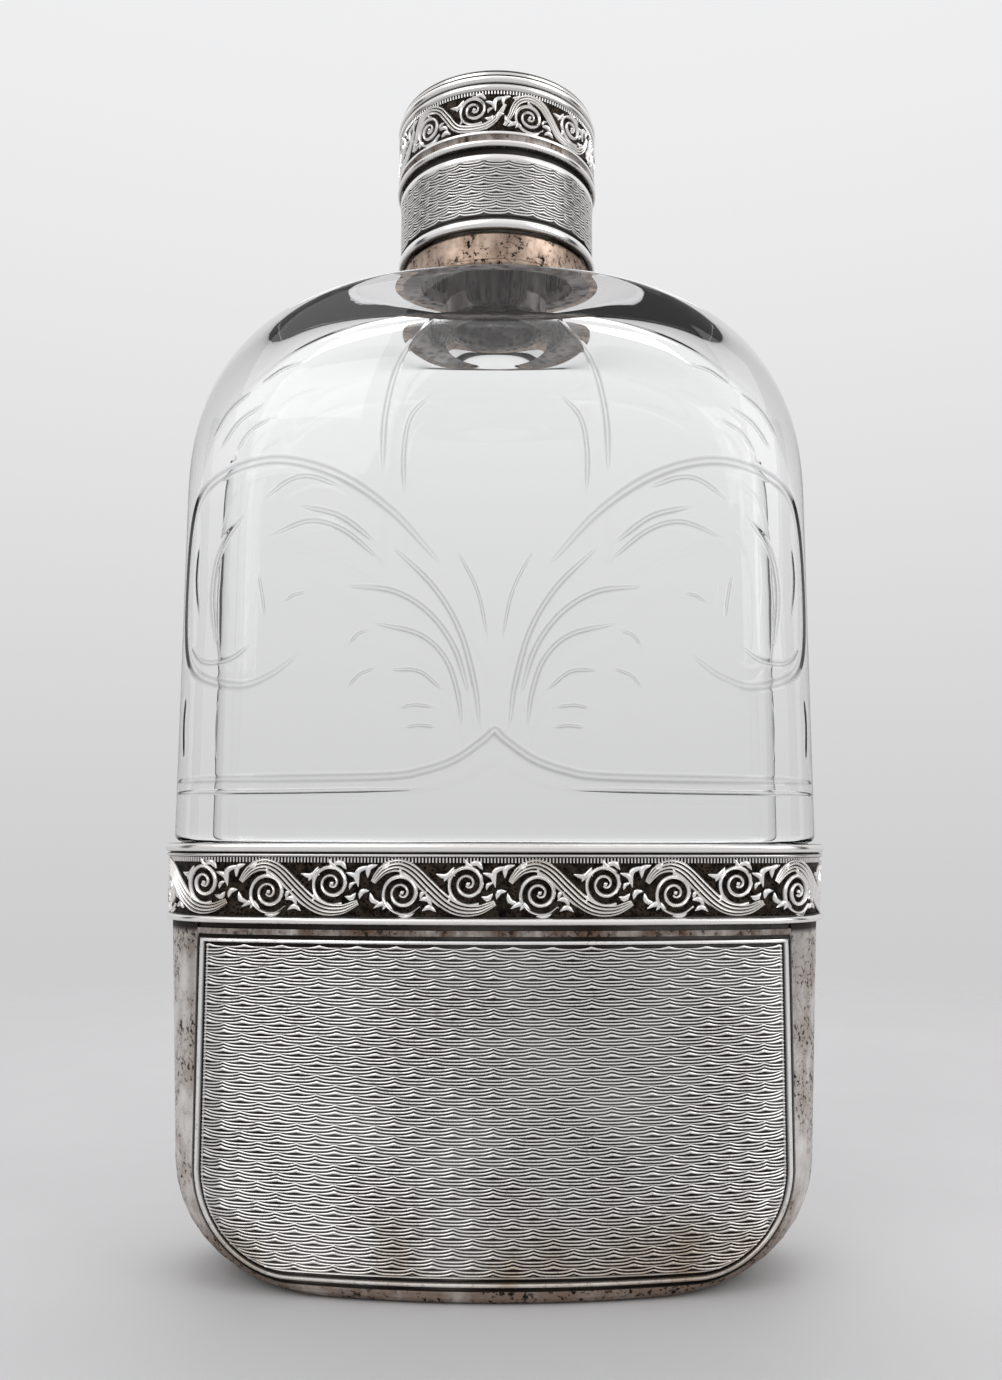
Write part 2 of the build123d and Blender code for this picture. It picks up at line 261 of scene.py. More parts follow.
# ---- Meshes -------------------------------------------------------------------------------------
class MeshMaker:
    """Collects shells in millimetres and makes one plain mesh object of them."""

    def __init__(self) -> None:
        """Starts empty."""
        self.points: list[np.ndarray] = []
        self.faces: list[Sequence[int]] = []
        self.finish_of_face: list[int] = []
        self.values: dict[str, list[np.ndarray]] = {}
        self.count = 0

    def missing(self, name: str, like: np.ndarray) -> list[np.ndarray]:
        """Noughts for the points so far that have no value of this name."""
        short = self.count - sum(len(a) for a in self.values.get(name, []))
        return [np.zeros((short, *np.shape(like)[1:]))] if short else []

    def add(self, points: np.ndarray, faces: Sequence[Sequence[int]], finish: int = 0,
            values: Optional[Values] = None) -> None:
        """Adds one shell.

        Args:
            points: Its points, one row each.
            faces: Its faces, as numbers of its own points.
            finish: Number of its material.
            values: Attributes, one value or one vector for each point.
        """
        self.points.append(np.asarray(points, float))
        self.faces.extend([[i + self.count for i in face] for face in faces])
        self.finish_of_face.extend([finish] * len(faces))
        for name, array in (values or {}).items():
            blank = self.missing(name, array)
            self.values.setdefault(name, []).extend([*blank, np.asarray(array, float)])
        self.count += len(points)

    def grid(self, points: np.ndarray, finish: int = 0, around: bool = False, closed: bool = False,
             values: Optional[Values] = None) -> None:
        """Adds a sheet of quads.

        Args:
            points: Rows of points; each row runs to the right when seen from outside and the
                rows climb.
            finish: Number of its material.
            around: True if each row joins up with its own start.
            closed: True if the last row joins up with the first.
            values: Attributes, shaped as the points.
        """
        rows, columns = points.shape[:2]
        faces = []
        for j in range(rows if closed else rows - 1):
            low, high = j * columns, ((j + 1) % rows) * columns
            for i in range(columns if around else columns - 1):
                k = (i + 1) % columns
                faces.append((low + i, low + k, high + k, high + i))
        flat = {name: np.reshape(a, (rows * columns, *a.shape[2:])) for name, a in (values or {}).items()}
        self.add(points.reshape(-1, 3), faces, finish, flat)

    def cap(self, ring: np.ndarray, middle: Sequence[float]) -> None:
        """Closes a ring of points with a fan of triangles round a middle point."""
        fan = [(i, (i + 1) % len(ring), len(ring)) for i in range(len(ring))]
        self.add(np.vstack([ring, [middle]]), fan)

    def build(self, name: str, materials: Sequence[bpy.types.Material], sharp: float = 40.0,
              outward: bool = True) -> bpy.types.Object:
        """Makes the object.

        Args:
            name: The piece's name.
            materials: Its materials, in the order of the finish numbers.
            sharp: Edges that turn further than this, in degrees, stay crisp.
            outward: True to merge doubled points and turn every closed shell outwards.

        Returns:
            The object, at the origin, with its place in its mesh.
        """
        mesh = bpy.data.meshes.new(name)
        mesh.from_pydata((np.vstack(self.points) * MM).tolist(), [], self.faces)
        for key, arrays in self.values.items():
            array = np.concatenate(arrays + self.missing(key, arrays[0]))
            kind, field = ("FLOAT_VECTOR", "vector") if array.ndim > 1 else ("FLOAT", "value")
            store = mesh.attributes.new(key, kind, "POINT").data
            store.foreach_set(field, array.astype(np.float32).ravel())
        for material in materials:
            mesh.materials.append(material)
        mesh.polygons.foreach_set("material_index", np.array(self.finish_of_face, np.int32))
        if outward:
            work = bmesh.new()
            work.from_mesh(mesh)
            bmesh.ops.remove_doubles(work, verts=work.verts, dist=MERGE * MM)
            bmesh.ops.recalc_face_normals(work, faces=work.faces)
            work.to_mesh(mesh)
            work.free()
        mesh.validate()
        mesh.polygons.foreach_set("use_smooth", np.ones(len(mesh.polygons), bool))
        mesh.set_sharp_from_angle(angle=math.radians(sharp))
        thing = bpy.data.objects.new(name, mesh)
        bpy.context.scene.collection.objects.link(thing)
        return thing


def ring(name: str, rows: np.ndarray, finish: bpy.types.Material, sharp: float,
         values: Optional[Values] = None) -> bpy.types.Object:
    """Makes a ring of one finish from its closed section, carried round.

    Args:
        name: The object's name.
        rows: The rows of points, with both directions joined up.
        finish: Its material.
        sharp: Edges that turn further than this, in degrees, stay crisp.
        values: Attributes, shaped as the points.

    Returns:
        The ring.
    """
    maker = MeshMaker()
    maker.grid(rows, around=True, closed=True, values=values)
    return maker.build(name, [finish], sharp=sharp)


def turned(profile: Profile, steps: int = 192) -> np.ndarray:
    """A closed profile turned about the neck's axis.

    Args:
        profile: Radius and height of each corner, in order.
        steps: Steps round the axis.

    Returns:
        Rows of points for MeshMaker.grid, with both directions joined up.
    """
    angle = np.arange(steps) * 2 * math.pi / steps
    outline = np.array(profile, float)
    radius, height = outline[:, :1], outline[:, 1:]
    return np.stack(
        np.broadcast_arrays(radius * np.cos(angle), radius * np.sin(angle), height + 0 * angle), axis=-1
    )


def round_cup(profile: Profile, front: int = 120, side: int = 48) -> np.ndarray:
    """A closed profile carried round the cup.

    Args:
        profile: Height, and distance outside the cup's surface, of each corner in order.
        front: Steps on each face arc.
        side: Steps on each side arc.

    Returns:
        Rows of points for MeshMaker.grid, with both directions joined up.
    """
    outline = np.array(profile, float)
    turns = round_turns(front, side)
    width, depth = cup_section(outline[:, 0])
    place = lens_point(width[:, None], depth[:, None], turns[None, :])
    lift = outline[:, 1][:, None]
    return np.stack([
        place[..., 0] + lift * place[..., 2], place[..., 1] + lift * place[..., 3],
        np.broadcast_to(outline[:, 0][:, None], lift.shape[:1] + turns.shape),
    ], axis=-1)


def bead(low: float, high: float, foot: float, crest: float, steps: int = 8) -> list[tuple[float, float]]:
    """Half an ellipse between two heights.

    Args:
        low: Its lower edge.
        high: Its upper edge.
        foot: How far it stands out at its edges.
        crest: How far it stands out at its middle.
        steps: Steps over it.

    Returns:
        Height and reach of each point, from the lower edge to the upper.
    """
    middle, half = (low + high) / 2, (high - low) / 2
    turn = [math.pi * i / steps for i in range(steps + 1)]
    return [(middle - half * math.cos(t), foot + (crest - foot) * math.sin(t)) for t in turn]


def shade_hollows(reach: Sequence[float], steps: int, full_dark_depth: float = 0.42) -> Values:
    """The darkening in a moulding's hollows: oxide, with painted shade.

    Args:
        reach: How far each corner of its profile stands out.
        steps: Points in each row.
        full_dark_depth: Depth below the crest at which the darkening is full.

    Returns:
        The attribute for MeshMaker.grid.
    """
    out = np.array(reach, float)
    depth = np.clip((out.max() - out) / full_dark_depth, 0.0, 1.0) ** 1.6
    return {"recess": np.repeat(depth[:, None], steps, axis=1)}


def settle(thing: bpy.types.Object, tree: bpy.types.NodeTree, inputs: dict[str, str],
           values: dict) -> bpy.types.Object:
    """Puts an object through a Geometry Nodes tree and keeps the result as its plain mesh.

    Args:
        thing: The object.
        tree: The tree.
        inputs: The identifier of each of its inputs.
        values: What the inputs are set to.

    Returns:
        The same object, with a plain mesh and no modifiers.
    """
    modifier = thing.modifiers.new(tree.name, "NODES")
    modifier.node_group = tree
    for name, value in values.items():
        modifier[inputs[name]] = value
    graph = bpy.context.evaluated_depsgraph_get()
    mesh = bpy.data.meshes.new_from_object(
        thing.evaluated_get(graph), preserve_all_data_layers=True, depsgraph=graph
    )
    thing.modifiers.clear()
    thing.data = mesh
    return thing


def join(name: str, things: Sequence[bpy.types.Object]) -> bpy.types.Object:
    """Makes one object of several plain ones, all of them at the origin.

    Args:
        name: The new piece's name.
        things: The objects, which are used up.

    Returns:
        The joined object.
    """
    bpy.ops.object.select_all(action="DESELECT")
    for thing in things:
        thing.select_set(True)
    bpy.context.view_layer.objects.active = things[0]
    bpy.ops.object.join()
    things[0].name = name
    things[0].data.name = name
    things[0].select_set(False)
    return things[0]


def place(piece: bpy.types.Object, body: Body, slot: Slot, *nodes: str) -> bpy.types.Object:
    """Puts a finished piece on its body in place of CAD nodes.

    Args:
        piece: The finished piece.
        body: The body it rides on.
        slot: The record's material slot for it; not used.
        nodes: CAD nodes it stands for.

    Returns:
        The piece.
    """
    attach(piece, body.value)
    if nodes:
        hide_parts(*nodes)
    triangles = sum(len(p.vertices) - 2 for p in piece.data.polygons)
    LOG.info("%s: %d triangles, for %s", piece.name, triangles, ", ".join(nodes) or "no CAD node")
    return piece


# ---- Node trees ---------------------------------------------------------------------------------
class Tree:
    """Lays nodes in one tree and links them as it goes."""

    def __init__(self, tree: bpy.types.NodeTree) -> None:
        """Takes the tree to work on."""
        self.tree = tree

    def feed(self, node: bpy.types.Node, inputs: dict) -> bpy.types.Node:
        """Gives a node's inputs their values, or the sockets that feed them.

        Args:
            node: The node.
            inputs: Values or sockets, by the input's name or number.

        Returns:
            The node.
        """
        for key, value in inputs.items():
            if isinstance(value, Socket):
                self.tree.links.new(value, node.inputs[key])
            elif node.inputs[key].type == "RGBA" and len(value) == 3:
                node.inputs[key].default_value = (*value, 1.0)
            else:
                node.inputs[key].default_value = value
        return node

    def add(self, kind: str, inputs: Optional[dict] = None, **settings: object) -> bpy.types.Node:
        """Adds one node.

        Args:
            kind: The node's type.
            inputs: Values or sockets for its inputs, by name or number.
            **settings: The node's own properties.

        Returns:
            The node.
        """
        node = self.tree.nodes.new(kind)
        for key, value in settings.items():
            setattr(node, key, value)
        return self.feed(node, inputs or {})

    def sum(self, operation: str, *terms: Union[float, Socket], clamp: bool = False) -> Socket:
        """One step of arithmetic, kept from 0 to 1 if clamped."""
        node = self.add("ShaderNodeMath", dict(enumerate(terms)), operation=operation, use_clamp=clamp)
        return node.outputs[0]

    def vector(self, operation: str, *terms: Union[Sequence[float], Socket]) -> Socket:
        """One step of vector arithmetic."""
        return self.add("ShaderNodeVectorMath", dict(enumerate(terms)), operation=operation).outputs[0]

    def scaled(self, way: Socket, size: Socket) -> Socket:
        """A vector made longer or shorter."""
        return self.add("ShaderNodeVectorMath", {0: way, "Scale": size}, operation="SCALE").outputs[0]

    def blend(self, share: Union[float, Socket], first: Union[Colour, Socket],
              second: Union[Colour, Socket]) -> Socket:
        """A mix of two colours, with so much of the second one."""
        return self.add("ShaderNodeMix", {0: share, 6: first, 7: second}, data_type="RGBA").outputs[2]

    def ramp(self, value: Socket, low: float, high: float, start: float = 0.0, end: float = 1.0) -> Socket:
        """A value carried smoothly from one range to another, and kept inside it.

        Args:
            value: The value.
            low: Start of its range.
            high: End of its range.
            start: The result at the start.
            end: The result at the end.

        Returns:
            The result.
        """
        inputs = {0: value, 1: low, 2: high, 3: start, 4: end}
        return self.add("ShaderNodeMapRange", inputs, interpolation_type="SMOOTHSTEP").outputs[0]

    def noise(self, place_: Socket, scale: Union[float, Socket], detail: float = 3.0,
              rough: float = 0.55) -> Socket:
        """Cloudy noise from 0 to 1.

        Args:
            place_: The coordinates.
            scale: How many clouds to a metre.
            detail: Octaves.
            rough: Strength of each finer octave.

        Returns:
            The value.
        """
        inputs = {"Vector": place_, "Scale": scale, "Detail": detail, "Roughness": rough}
        return self.add("ShaderNodeTexNoise", inputs).outputs[0]

    def bump(self, height: Socket, strength: float, distance: float) -> Socket:
        """The normal over a height, with the bump's strength and its depth in millimetres."""
        inputs = {"Strength": strength, "Distance": distance * MM, "Height": height}
        return self.add("ShaderNodeBump", inputs).outputs[0]

    def recess(self) -> Socket:
        """The mask that a piece's mesh carries for its hollows or its cuts."""
        return self.add("ShaderNodeAttribute", attribute_name="recess").outputs["Fac"]

    def dressed(self, shape: Socket, metal: Socket) -> Socket:
        """A geometry tree's last steps: a real mesh of one material."""
        solid = self.add("GeometryNodeRealizeInstances", {0: shape}).outputs[0]
        return self.add("GeometryNodeSetMaterial", {"Geometry": solid, "Material": metal}).outputs[0]


class SharedGroup:
    """A node group with named sockets, built once and used by name."""

    def __init__(self, name: str, kind: str, inputs: dict[str, tuple[str, object]],
                 outputs: dict[str, str]) -> None:
        """Makes the empty group.

        Args:
            name: The group's name.
            kind: The type of its tree.
            inputs: Kind and first value of each input.
            outputs: Kind of each output.
        """
        self.group = bpy.data.node_groups.new(name, kind)
        face = self.group.interface
        for label, (socket, value) in inputs.items():
            made = face.new_socket(name=label, in_out="INPUT", socket_type=f"NodeSocket{socket}")
            if value is not None:
                made.default_value = value
        for label, socket in outputs.items():
            face.new_socket(name=label, in_out="OUTPUT", socket_type=f"NodeSocket{socket}")
        self.tree = Tree(self.group)
        self.source = self.group.nodes.new("NodeGroupInput")
        self.result = self.group.nodes.new("NodeGroupOutput")

    def put_out(self, **sockets: Socket) -> bpy.types.NodeTree:
        """Links the finished group's outputs, whose names have an underscore for a space."""
        self.tree.feed(self.result, {label.replace("_", " "): socket for label, socket in sockets.items()})
        return self.group

    def identifiers(self) -> dict[str, str]:
        """The identifier of each input socket, by name."""
        return {s.name: s.identifier for s in self.group.interface.items_tree if s.in_out == "INPUT"}


def tarnish_group() -> bpy.types.NodeTree:
    """The film that silver gathers: clean metal, a golden-brown film and specks, with black in recesses that is
    oxide and painted shade, and a black painted shadow above a set height.

    Returns:
        The shader group.
    """
    group = SharedGroup(
        "Silver Tarnish", "ShaderNodeTree",
        {
            "Place": ("Vector", None), "Patch Size": ("Float", 120.0), "Amount": ("Float", 0.3),
            "Recess": ("Float", 0.0), "Low Film": ("Float", 0.0), "Specks": ("Float", 0.0),
            "Foul Above": ("Float", 10.0), "Metal": ("Color", (0.9, 0.9, 0.9, 1)),
            "Film": ("Color", (0.4, 0.25, 0.1, 1)), "Soot": ("Color", (0.02, 0.02, 0.02, 1)),
        },
        {"Color": "Color", "Film Mask": "Float", "Roughness": "Float"},
    )
    tree, source = group.tree, group.source.outputs
    place_, metre_up = source["Place"], tree.add("ShaderNodeSeparateXYZ", {0: source["Place"]}).outputs[2]
    clouds = tree.noise(place_, source["Patch Size"], 5.0, 0.6)
    drawn_out = tree.vector("MULTIPLY", place_, (1.0, 1.0, 0.25))
    streaks = tree.noise(drawn_out, tree.sum("MULTIPLY", source["Patch Size"], 4.0), 3.0)
    low = tree.sum("MULTIPLY", tree.ramp(metre_up, 0.016, 0.0), source["Low Film"])
    depth = tree.sum("ADD", tree.sum("MULTIPLY", clouds, 0.72), tree.sum("MULTIPLY", streaks, 0.28))
    reach = tree.sum("ADD", source["Amount"], low)
    mask = tree.ramp(tree.sum("ADD", depth, reach), 0.62, 1.15)
    filmed = tree.blend(mask, source["Metal"], source["Film"])
    spots = tree.ramp(tree.noise(place_, 1700.0, 3.0, 0.7), 0.54, 0.6)
    crowd = tree.ramp(tree.sum("ADD", clouds, tree.sum("MULTIPLY", low, 0.3)), 0.4, 0.58)
    specks = tree.sum("MULTIPLY", tree.sum("MULTIPLY", spots, crowd), source["Specks"])
    # Painted shadow: black above a set height, as under an overhanging wire.
    painted_shadow = tree.ramp(metre_up, source["Foul Above"], tree.sum("ADD", source["Foul Above"], 0.0008))
    # Recesses darkened: oxide, with painted shade.
    hollows = tree.sum("MULTIPLY", source["Recess"], tree.ramp(clouds, 0.2, 0.6, 0.86, 1.0))
    dirt_and_shade = tree.sum("MAXIMUM", specks, hollows)
    soot = tree.sum("MAXIMUM", dirt_and_shade, tree.sum("MULTIPLY", painted_shadow, 0.96), clamp=True)
    colour = tree.blend(soot, filmed, source["Soot"])
    rough = tree.sum("ADD", tree.sum("MULTIPLY", mask, 0.16), tree.sum("MULTIPLY", soot, 0.3))
    return group.put_out(Color=colour, Film_Mask=mask, Roughness=rough)


def marks_group() -> bpy.types.NodeTree:
    """The fine scratches and dents of handling.

    Returns:
        The shader group.
    """
    group = SharedGroup(
        "Handling Marks", "ShaderNodeTree",
        {"Place": ("Vector", None), "Fineness": ("Float", 900.0), "Strength": ("Float", 0.5)},
        {"Height": "Float", "Roughness": "Float"},
    )
    tree, source = group.tree, group.source.outputs
    place_, strength = source["Place"], source["Strength"]
    level = tree.vector("MULTIPLY", place_, (0.12, 1.0, 1.0))
    turn = {"Vector": place_, "Rotation": (0.3, 0.5, 1.1), "Scale": (0.1, 1.0, 1.0)}
    slanting = tree.add("ShaderNodeMapping", turn).outputs[0]
    first = tree.ramp(tree.noise(level, source["Fineness"], 2.0), 0.62, 0.72)
    second = tree.ramp(tree.noise(slanting, source["Fineness"], 2.0), 0.64, 0.74)
    scratches = tree.sum("MULTIPLY", tree.sum("MAXIMUM", first, second), -0.5)
    dents = tree.sum("MULTIPLY", tree.noise(place_, 60.0, 2.0), 2.0)
    height = tree.sum("MULTIPLY", tree.sum("ADD", scratches, dents), strength)
    rubbed = tree.ramp(tree.noise(place_, 150.0, 4.0), 0.35, 0.75)
    return group.put_out(Height=height, Roughness=tree.sum("MULTIPLY", rubbed, strength))


def grain_group() -> bpy.types.NodeTree:
    """Two-colour grain with pits, for cork, cement and the stippled ground behind the scrolls.

    Returns:
        The shader group.
    """
    group = SharedGroup(
        "Grain", "ShaderNodeTree",
        {"Place": ("Vector", None), "Size": ("Float", 700.0), "Light": ("Color", (0.6, 0.4, 0.2, 1)),
         "Dark": ("Color", (0.2, 0.1, 0.05, 1))},
        {"Color": "Color", "Height": "Float"},
    )
    tree, source = group.tree, group.source.outputs
    place_, size = source["Place"], source["Size"]
    cells = tree.add("ShaderNodeTexVoronoi", {"Vector": place_, "Scale": size}).outputs[0]
    cloud = tree.noise(place_, tree.sum("MULTIPLY", size, 0.4), 4.0)
    pits = tree.ramp(cells, 0.15, 0.5)
    share = tree.sum("MULTIPLY", tree.ramp(cloud, 0.3, 0.7), pits)
    return group.put_out(Color=tree.blend(share, source["Dark"], source["Light"]), Height=pits)


class Groups:
    """The shared shader groups, made once."""

    def __init__(self) -> None:
        """Builds all of them."""
        self.tarnish = tarnish_group()
        self.marks = marks_group()
        self.grain = grain_group()


def new_material(name: str) -> tuple[bpy.types.Material, Tree, bpy.types.Node, Socket]:
    """An empty node material with its shader linked.

    Args:
        name: The material's name.

    Returns:
        The material, its tree, its Principled shader and the object coordinates.
    """
    material = bpy.data.materials.new(name)
    material.use_nodes = True
    material.node_tree.nodes.clear()
    tree = Tree(material.node_tree)
    shader = tree.add("ShaderNodeBsdfPrincipled")
    tree.add("ShaderNodeOutputMaterial", {"Surface": shader.outputs[0]})
    return material, tree, shader, tree.add("ShaderNodeTexCoord").outputs["Object"]


@dataclass(frozen=True)
class SilverFinish:
    """Old silver: polished where hands reach it and filmed where they do not, with black in its recesses that
    is oxide and painted shade, and a black painted shadow above a set height.
    """

    name: str
    metal: Colour = (0.93, 0.915, 0.89)
    film: Colour = (0.42, 0.30, 0.19)
    soot: Colour = (0.022, 0.018, 0.015)
    amount: float = 0.12
    low_film: float = 0.0
    patch_size: float = 70.0
    roughness: float = 0.16
    marks: float = 0.5
    recessed: bool = False
    sunk: float = 0.0
    specks: float = 0.0
    painted_shadow_above: float = 10.0

    def make(self, groups: Groups) -> bpy.types.Material:
        """Builds the material.

        Args:
            groups: The shared shader groups.

        Returns:
            The material.
        """
        material, tree, shader, place_ = new_material(self.name)
        tarnish = tree.add("ShaderNodeGroup", {
            "Place": place_, "Patch Size": self.patch_size, "Amount": self.amount,
            "Recess": tree.recess() if self.recessed else self.sunk, "Low Film": self.low_film,
            "Metal": self.metal, "Film": self.film, "Soot": self.soot, "Specks": self.specks,
            "Foul Above": self.painted_shadow_above,
        }, node_tree=groups.tarnish).outputs
        marks = tree.add(
            "ShaderNodeGroup", {"Place": place_, "Strength": self.marks}, node_tree=groups.marks
        ).outputs
        rough = tree.sum("ADD", tree.sum("ADD", tarnish["Roughness"], self.roughness),
                         tree.sum("MULTIPLY", marks["Roughness"], 0.12), clamp=True)
        tree.feed(shader, {"Metallic": 1.0, "Base Color": tarnish["Color"], "Roughness": rough,
                           "Normal": tree.bump(marks["Height"], 0.25, 0.02)})
        return material


@dataclass(frozen=True)
class GlassFinish:
    """Clear colourless glass, a little grey and matt where the wheel has cut it."""

    name: str = "clear_cut_glass"
    tint: Colour = (0.985, 0.988, 0.985)
    cut: Colour = (0.45, 0.45, 0.46)

    def make(self) -> bpy.types.Material:
        """Builds the material.

        Returns:
            The material.
        """
        material, tree, shader, place_ = new_material(self.name)
        cut = tree.recess()
        tree.feed(shader, {
            "Metallic": 0.0, "Transmission Weight": 1.0, "IOR": 1.5,
            "Base Color": tree.blend(cut, self.tint, self.cut), "Roughness": tree.sum("MULTIPLY", cut, 0.25),
            "Normal": tree.bump(tree.noise(place_, 45.0, 2.0), 0.12, 0.25),
        })
        return material


@dataclass(frozen=True)
class GrainFinish:
    """A dull grained stuff, such as cork, cement or a stippled ground."""

    name: str
    light: Colour
    dark: Colour
    size: float
    roughness: float = 0.8
    metallic: float = 0.0
    depth: float = 0.15

    def make(self, groups: Groups) -> bpy.types.Material:
        """Builds the material.

        Args:
            groups: The shared shader groups.

        Returns:
            The material.
        """
        material, tree, shader, place_ = new_material(self.name)
        grain = tree.add("ShaderNodeGroup", {
            "Place": place_, "Size": self.size, "Light": self.light, "Dark": self.dark,
        }, node_tree=groups.grain).outputs
        rough = tree.ramp(grain["Height"], 0.0, 1.0, min(1.0, self.roughness + 0.1), self.roughness)
        tree.feed(shader, {"Metallic": self.metallic, "Base Color": grain["Color"], "Roughness": rough,
                           "Normal": tree.bump(grain["Height"], 0.7, self.depth)})
        return material


class Finishes:
    """All the finishes of the flask."""

    def __init__(self) -> None:
        """Makes every material."""
        groups = Groups()
        self.glass = GlassFinish().make()
        self.silver = SilverFinish("polished_silver", low_film=0.1, amount=0.16).make(groups)
        # Black above 37.9 mm, under the wire: painted shadow, with tarnish.
        self.strip = SilverFinish(
            "brown_filmed_silver", film=(0.30, 0.22, 0.17), amount=0.38, low_film=0.2, patch_size=160.0,
            roughness=0.2, specks=1.0, painted_shadow_above=0.0379,
        ).make(groups)
        self.moulding = SilverFinish("moulding_silver", amount=0.1, recessed=True).make(groups)
        self.panel = SilverFinish(
            "engine_turned_silver", recessed=True, amount=0.06, low_film=0.3, roughness=0.2, marks=0.3,
            specks=0.3,
        ).make(groups)
        self.relief = SilverFinish(
            "scroll_relief_silver", amount=0.14, roughness=0.2, recessed=True, marks=0.2,
        ).make(groups)
        self.ground = GrainFinish(
            "stippled_dark_ground", (0.06, 0.045, 0.035), (0.008, 0.007, 0.006), 2600.0, 0.6, 1.0, 0.08,
        ).make(groups)
        # A black sheet for the gaps under the wires: painted shadow, with some tarnish.
        self.line = SilverFinish("black_recess", sunk=0.96, amount=0.3, roughness=0.35).make(groups)
        self.hollow = SilverFinish(
            "brown_hollow_silver", film=(0.13, 0.08, 0.055), amount=0.5, roughness=0.3, patch_size=260.0,
            specks=0.8,
        ).make(groups)
        self.collar = SilverFinish(
            "golden_brown_silver", metal=(0.66, 0.52, 0.42), film=(0.15, 0.09, 0.06), amount=0.38,
            roughness=0.26, patch_size=260.0, marks=0.8, specks=1.0,
        ).make(groups)
        self.inside = SilverFinish("inside_silver", amount=0.08, roughness=0.34, marks=0.9).make(groups)
        self.cork = GrainFinish(
            "natural_cork", (0.56, 0.35, 0.18), (0.16, 0.08, 0.035), 900.0,
        ).make(groups)
        self.cement = GrainFinish(
            "neck_cement", (0.62, 0.57, 0.55), (0.16, 0.13, 0.12), 700.0, 0.9,
        ).make(groups)


# ---- Repeating work made with geometry nodes ----------------------------------------------------
class EngineTurning:
    """The rose-engine pattern: level rows of shallow scallops cut into a smooth sheet.

    The sheet's vertices say which row they are in, how far along it they are, whether they lie
    in the cut, and which way is out.
    """

    def __init__(self) -> None:
        """Builds the tree."""
        group = SharedGroup(
            "Engine Turning", "GeometryNodeTree",
            {"Sheet": ("Geometry", None), "Period": ("Float", 4.25 * MM), "Swing": ("Float", 0.12 * MM),
             "Depth": ("Float", 0.1 * MM), "Rows Together": ("Float", 3.0), "Metal": ("Material", None)},
            {"Sheet": "Geometry"},
        )
        tree, source = group.tree, group.source.outputs
        row, along, cut = (self.attribute(tree, name, "FLOAT") for name in ("row", "along", "cut"))
        together = source["Rows Together"]
        block = tree.sum("FLOOR", tree.sum("DIVIDE", row, together))
        in_block = tree.sum("SUBTRACT", row, tree.sum("MULTIPLY", block, together))
        shift = tree.sum("MULTIPLY", tree.sum("MODULO", block, 2.0), 0.5)
        place_ = tree.sum("ADD", tree.sum("DIVIDE", along, source["Period"]), shift)
        own, beyond = self.cusp(tree, place_), self.cusp(tree, tree.sum("ADD", place_, 0.5))
        share = tree.sum("SUBTRACT", in_block, tree.sum("SUBTRACT", together, 1.0), clamp=True)
        change = tree.sum("MULTIPLY", share, tree.sum("SUBTRACT", beyond, own))
        rise = tree.sum("MULTIPLY", tree.sum("ADD", own, change), source["Swing"])
        lift = tree.add("ShaderNodeCombineXYZ", {2: rise}).outputs[0]
        depth = tree.sum("MULTIPLY", tree.sum("MULTIPLY", cut, source["Depth"]), -1.0)
        sink = tree.scaled(self.attribute(tree, "out", "FLOAT_VECTOR"), depth)
        moved = tree.add("GeometryNodeSetPosition", {
            "Geometry": source["Sheet"], "Offset": tree.vector("ADD", sink, lift),
        }).outputs[0]
        self.tree = group.put_out(Sheet=tree.dressed(moved, source["Metal"]))
        self.inputs = group.identifiers()

    @staticmethod
    def cusp(tree: Tree, place_: Socket) -> Socket:
        """A row's rise from 0 to 1: level along each scallop and peaked where two meet.

        Args:
            tree: The tree.
            place_: The place along the row, counted in scallops.

        Returns:
            The rise.
        """
        from_start = tree.sum("MULTIPLY", tree.sum("FRACT", place_), 2.0)
        from_middle = tree.sum("ABSOLUTE", tree.sum("SUBTRACT", from_start, 1.0))
        return tree.sum("POWER", from_middle, 3.2)

    @staticmethod
    def rows(count: int) -> tuple[np.ndarray, np.ndarray]:
        """The levels of a sheet's rows of points: four to each row of the pattern.

        Args:
            count: Rows of the pattern.

        Returns:
            The levels, counted in pattern rows, and 1 where a level lies in the cut.
        """
        levels = [n + np.array([0.0, 0.46, 0.57, 0.89]) for n in range(count)]
        in_cut = np.concatenate([[1.0, 1.0, 0.0, 0.0]] * count + [[1.0]])
        return np.concatenate(levels + [[float(count)]]), in_cut

    @staticmethod
    def marks(row: np.ndarray, cut: np.ndarray, along: np.ndarray, out: np.ndarray) -> Values:
        """What a sheet's points carry for the pattern.

        Args:
            row: Level of each row of points, counted in pattern rows.
            cut: 1 for each row of points that lies in the cut.
            along: Place of each point along its row, in millimetres.
            out: The way out at each point.

        Returns:
            The attributes for MeshMaker.grid.
        """
        level, groove = (np.broadcast_to(a[:, None], along.shape) for a in (row + 0.001, cut))
        # The cut rows are darkened through the recess mask: oxide, with painted shade.
        return {"row": level, "along": along * MM, "cut": groove, "recess": groove, "out": out}

    @staticmethod
    def attribute(tree: Tree, name: str, kind: str) -> Socket:
        """Reads one attribute of the sheet."""
        return tree.add("GeometryNodeInputNamedAttribute", {"Name": name}, data_type=kind).outputs[0]

    def cut(self, sheet: bpy.types.Object, metal: bpy.types.Material, period: float, swing: float,
            depth: float) -> bpy.types.Object:
        """Cuts the pattern into a sheet.

        Args:
            sheet: The smooth sheet, with its attributes.
            metal: Its finish.
            period: Length of one scallop, in millimetres.
            swing: How far a scallop's ends rise.
            depth: Depth of the cut.

        Returns:
            The sheet as a plain mesh.
        """
        sizes = {"Period": period * MM, "Swing": swing * MM, "Depth": depth * MM}
        return settle(sheet, self.tree, self.inputs, {**sizes, "Metal": metal})


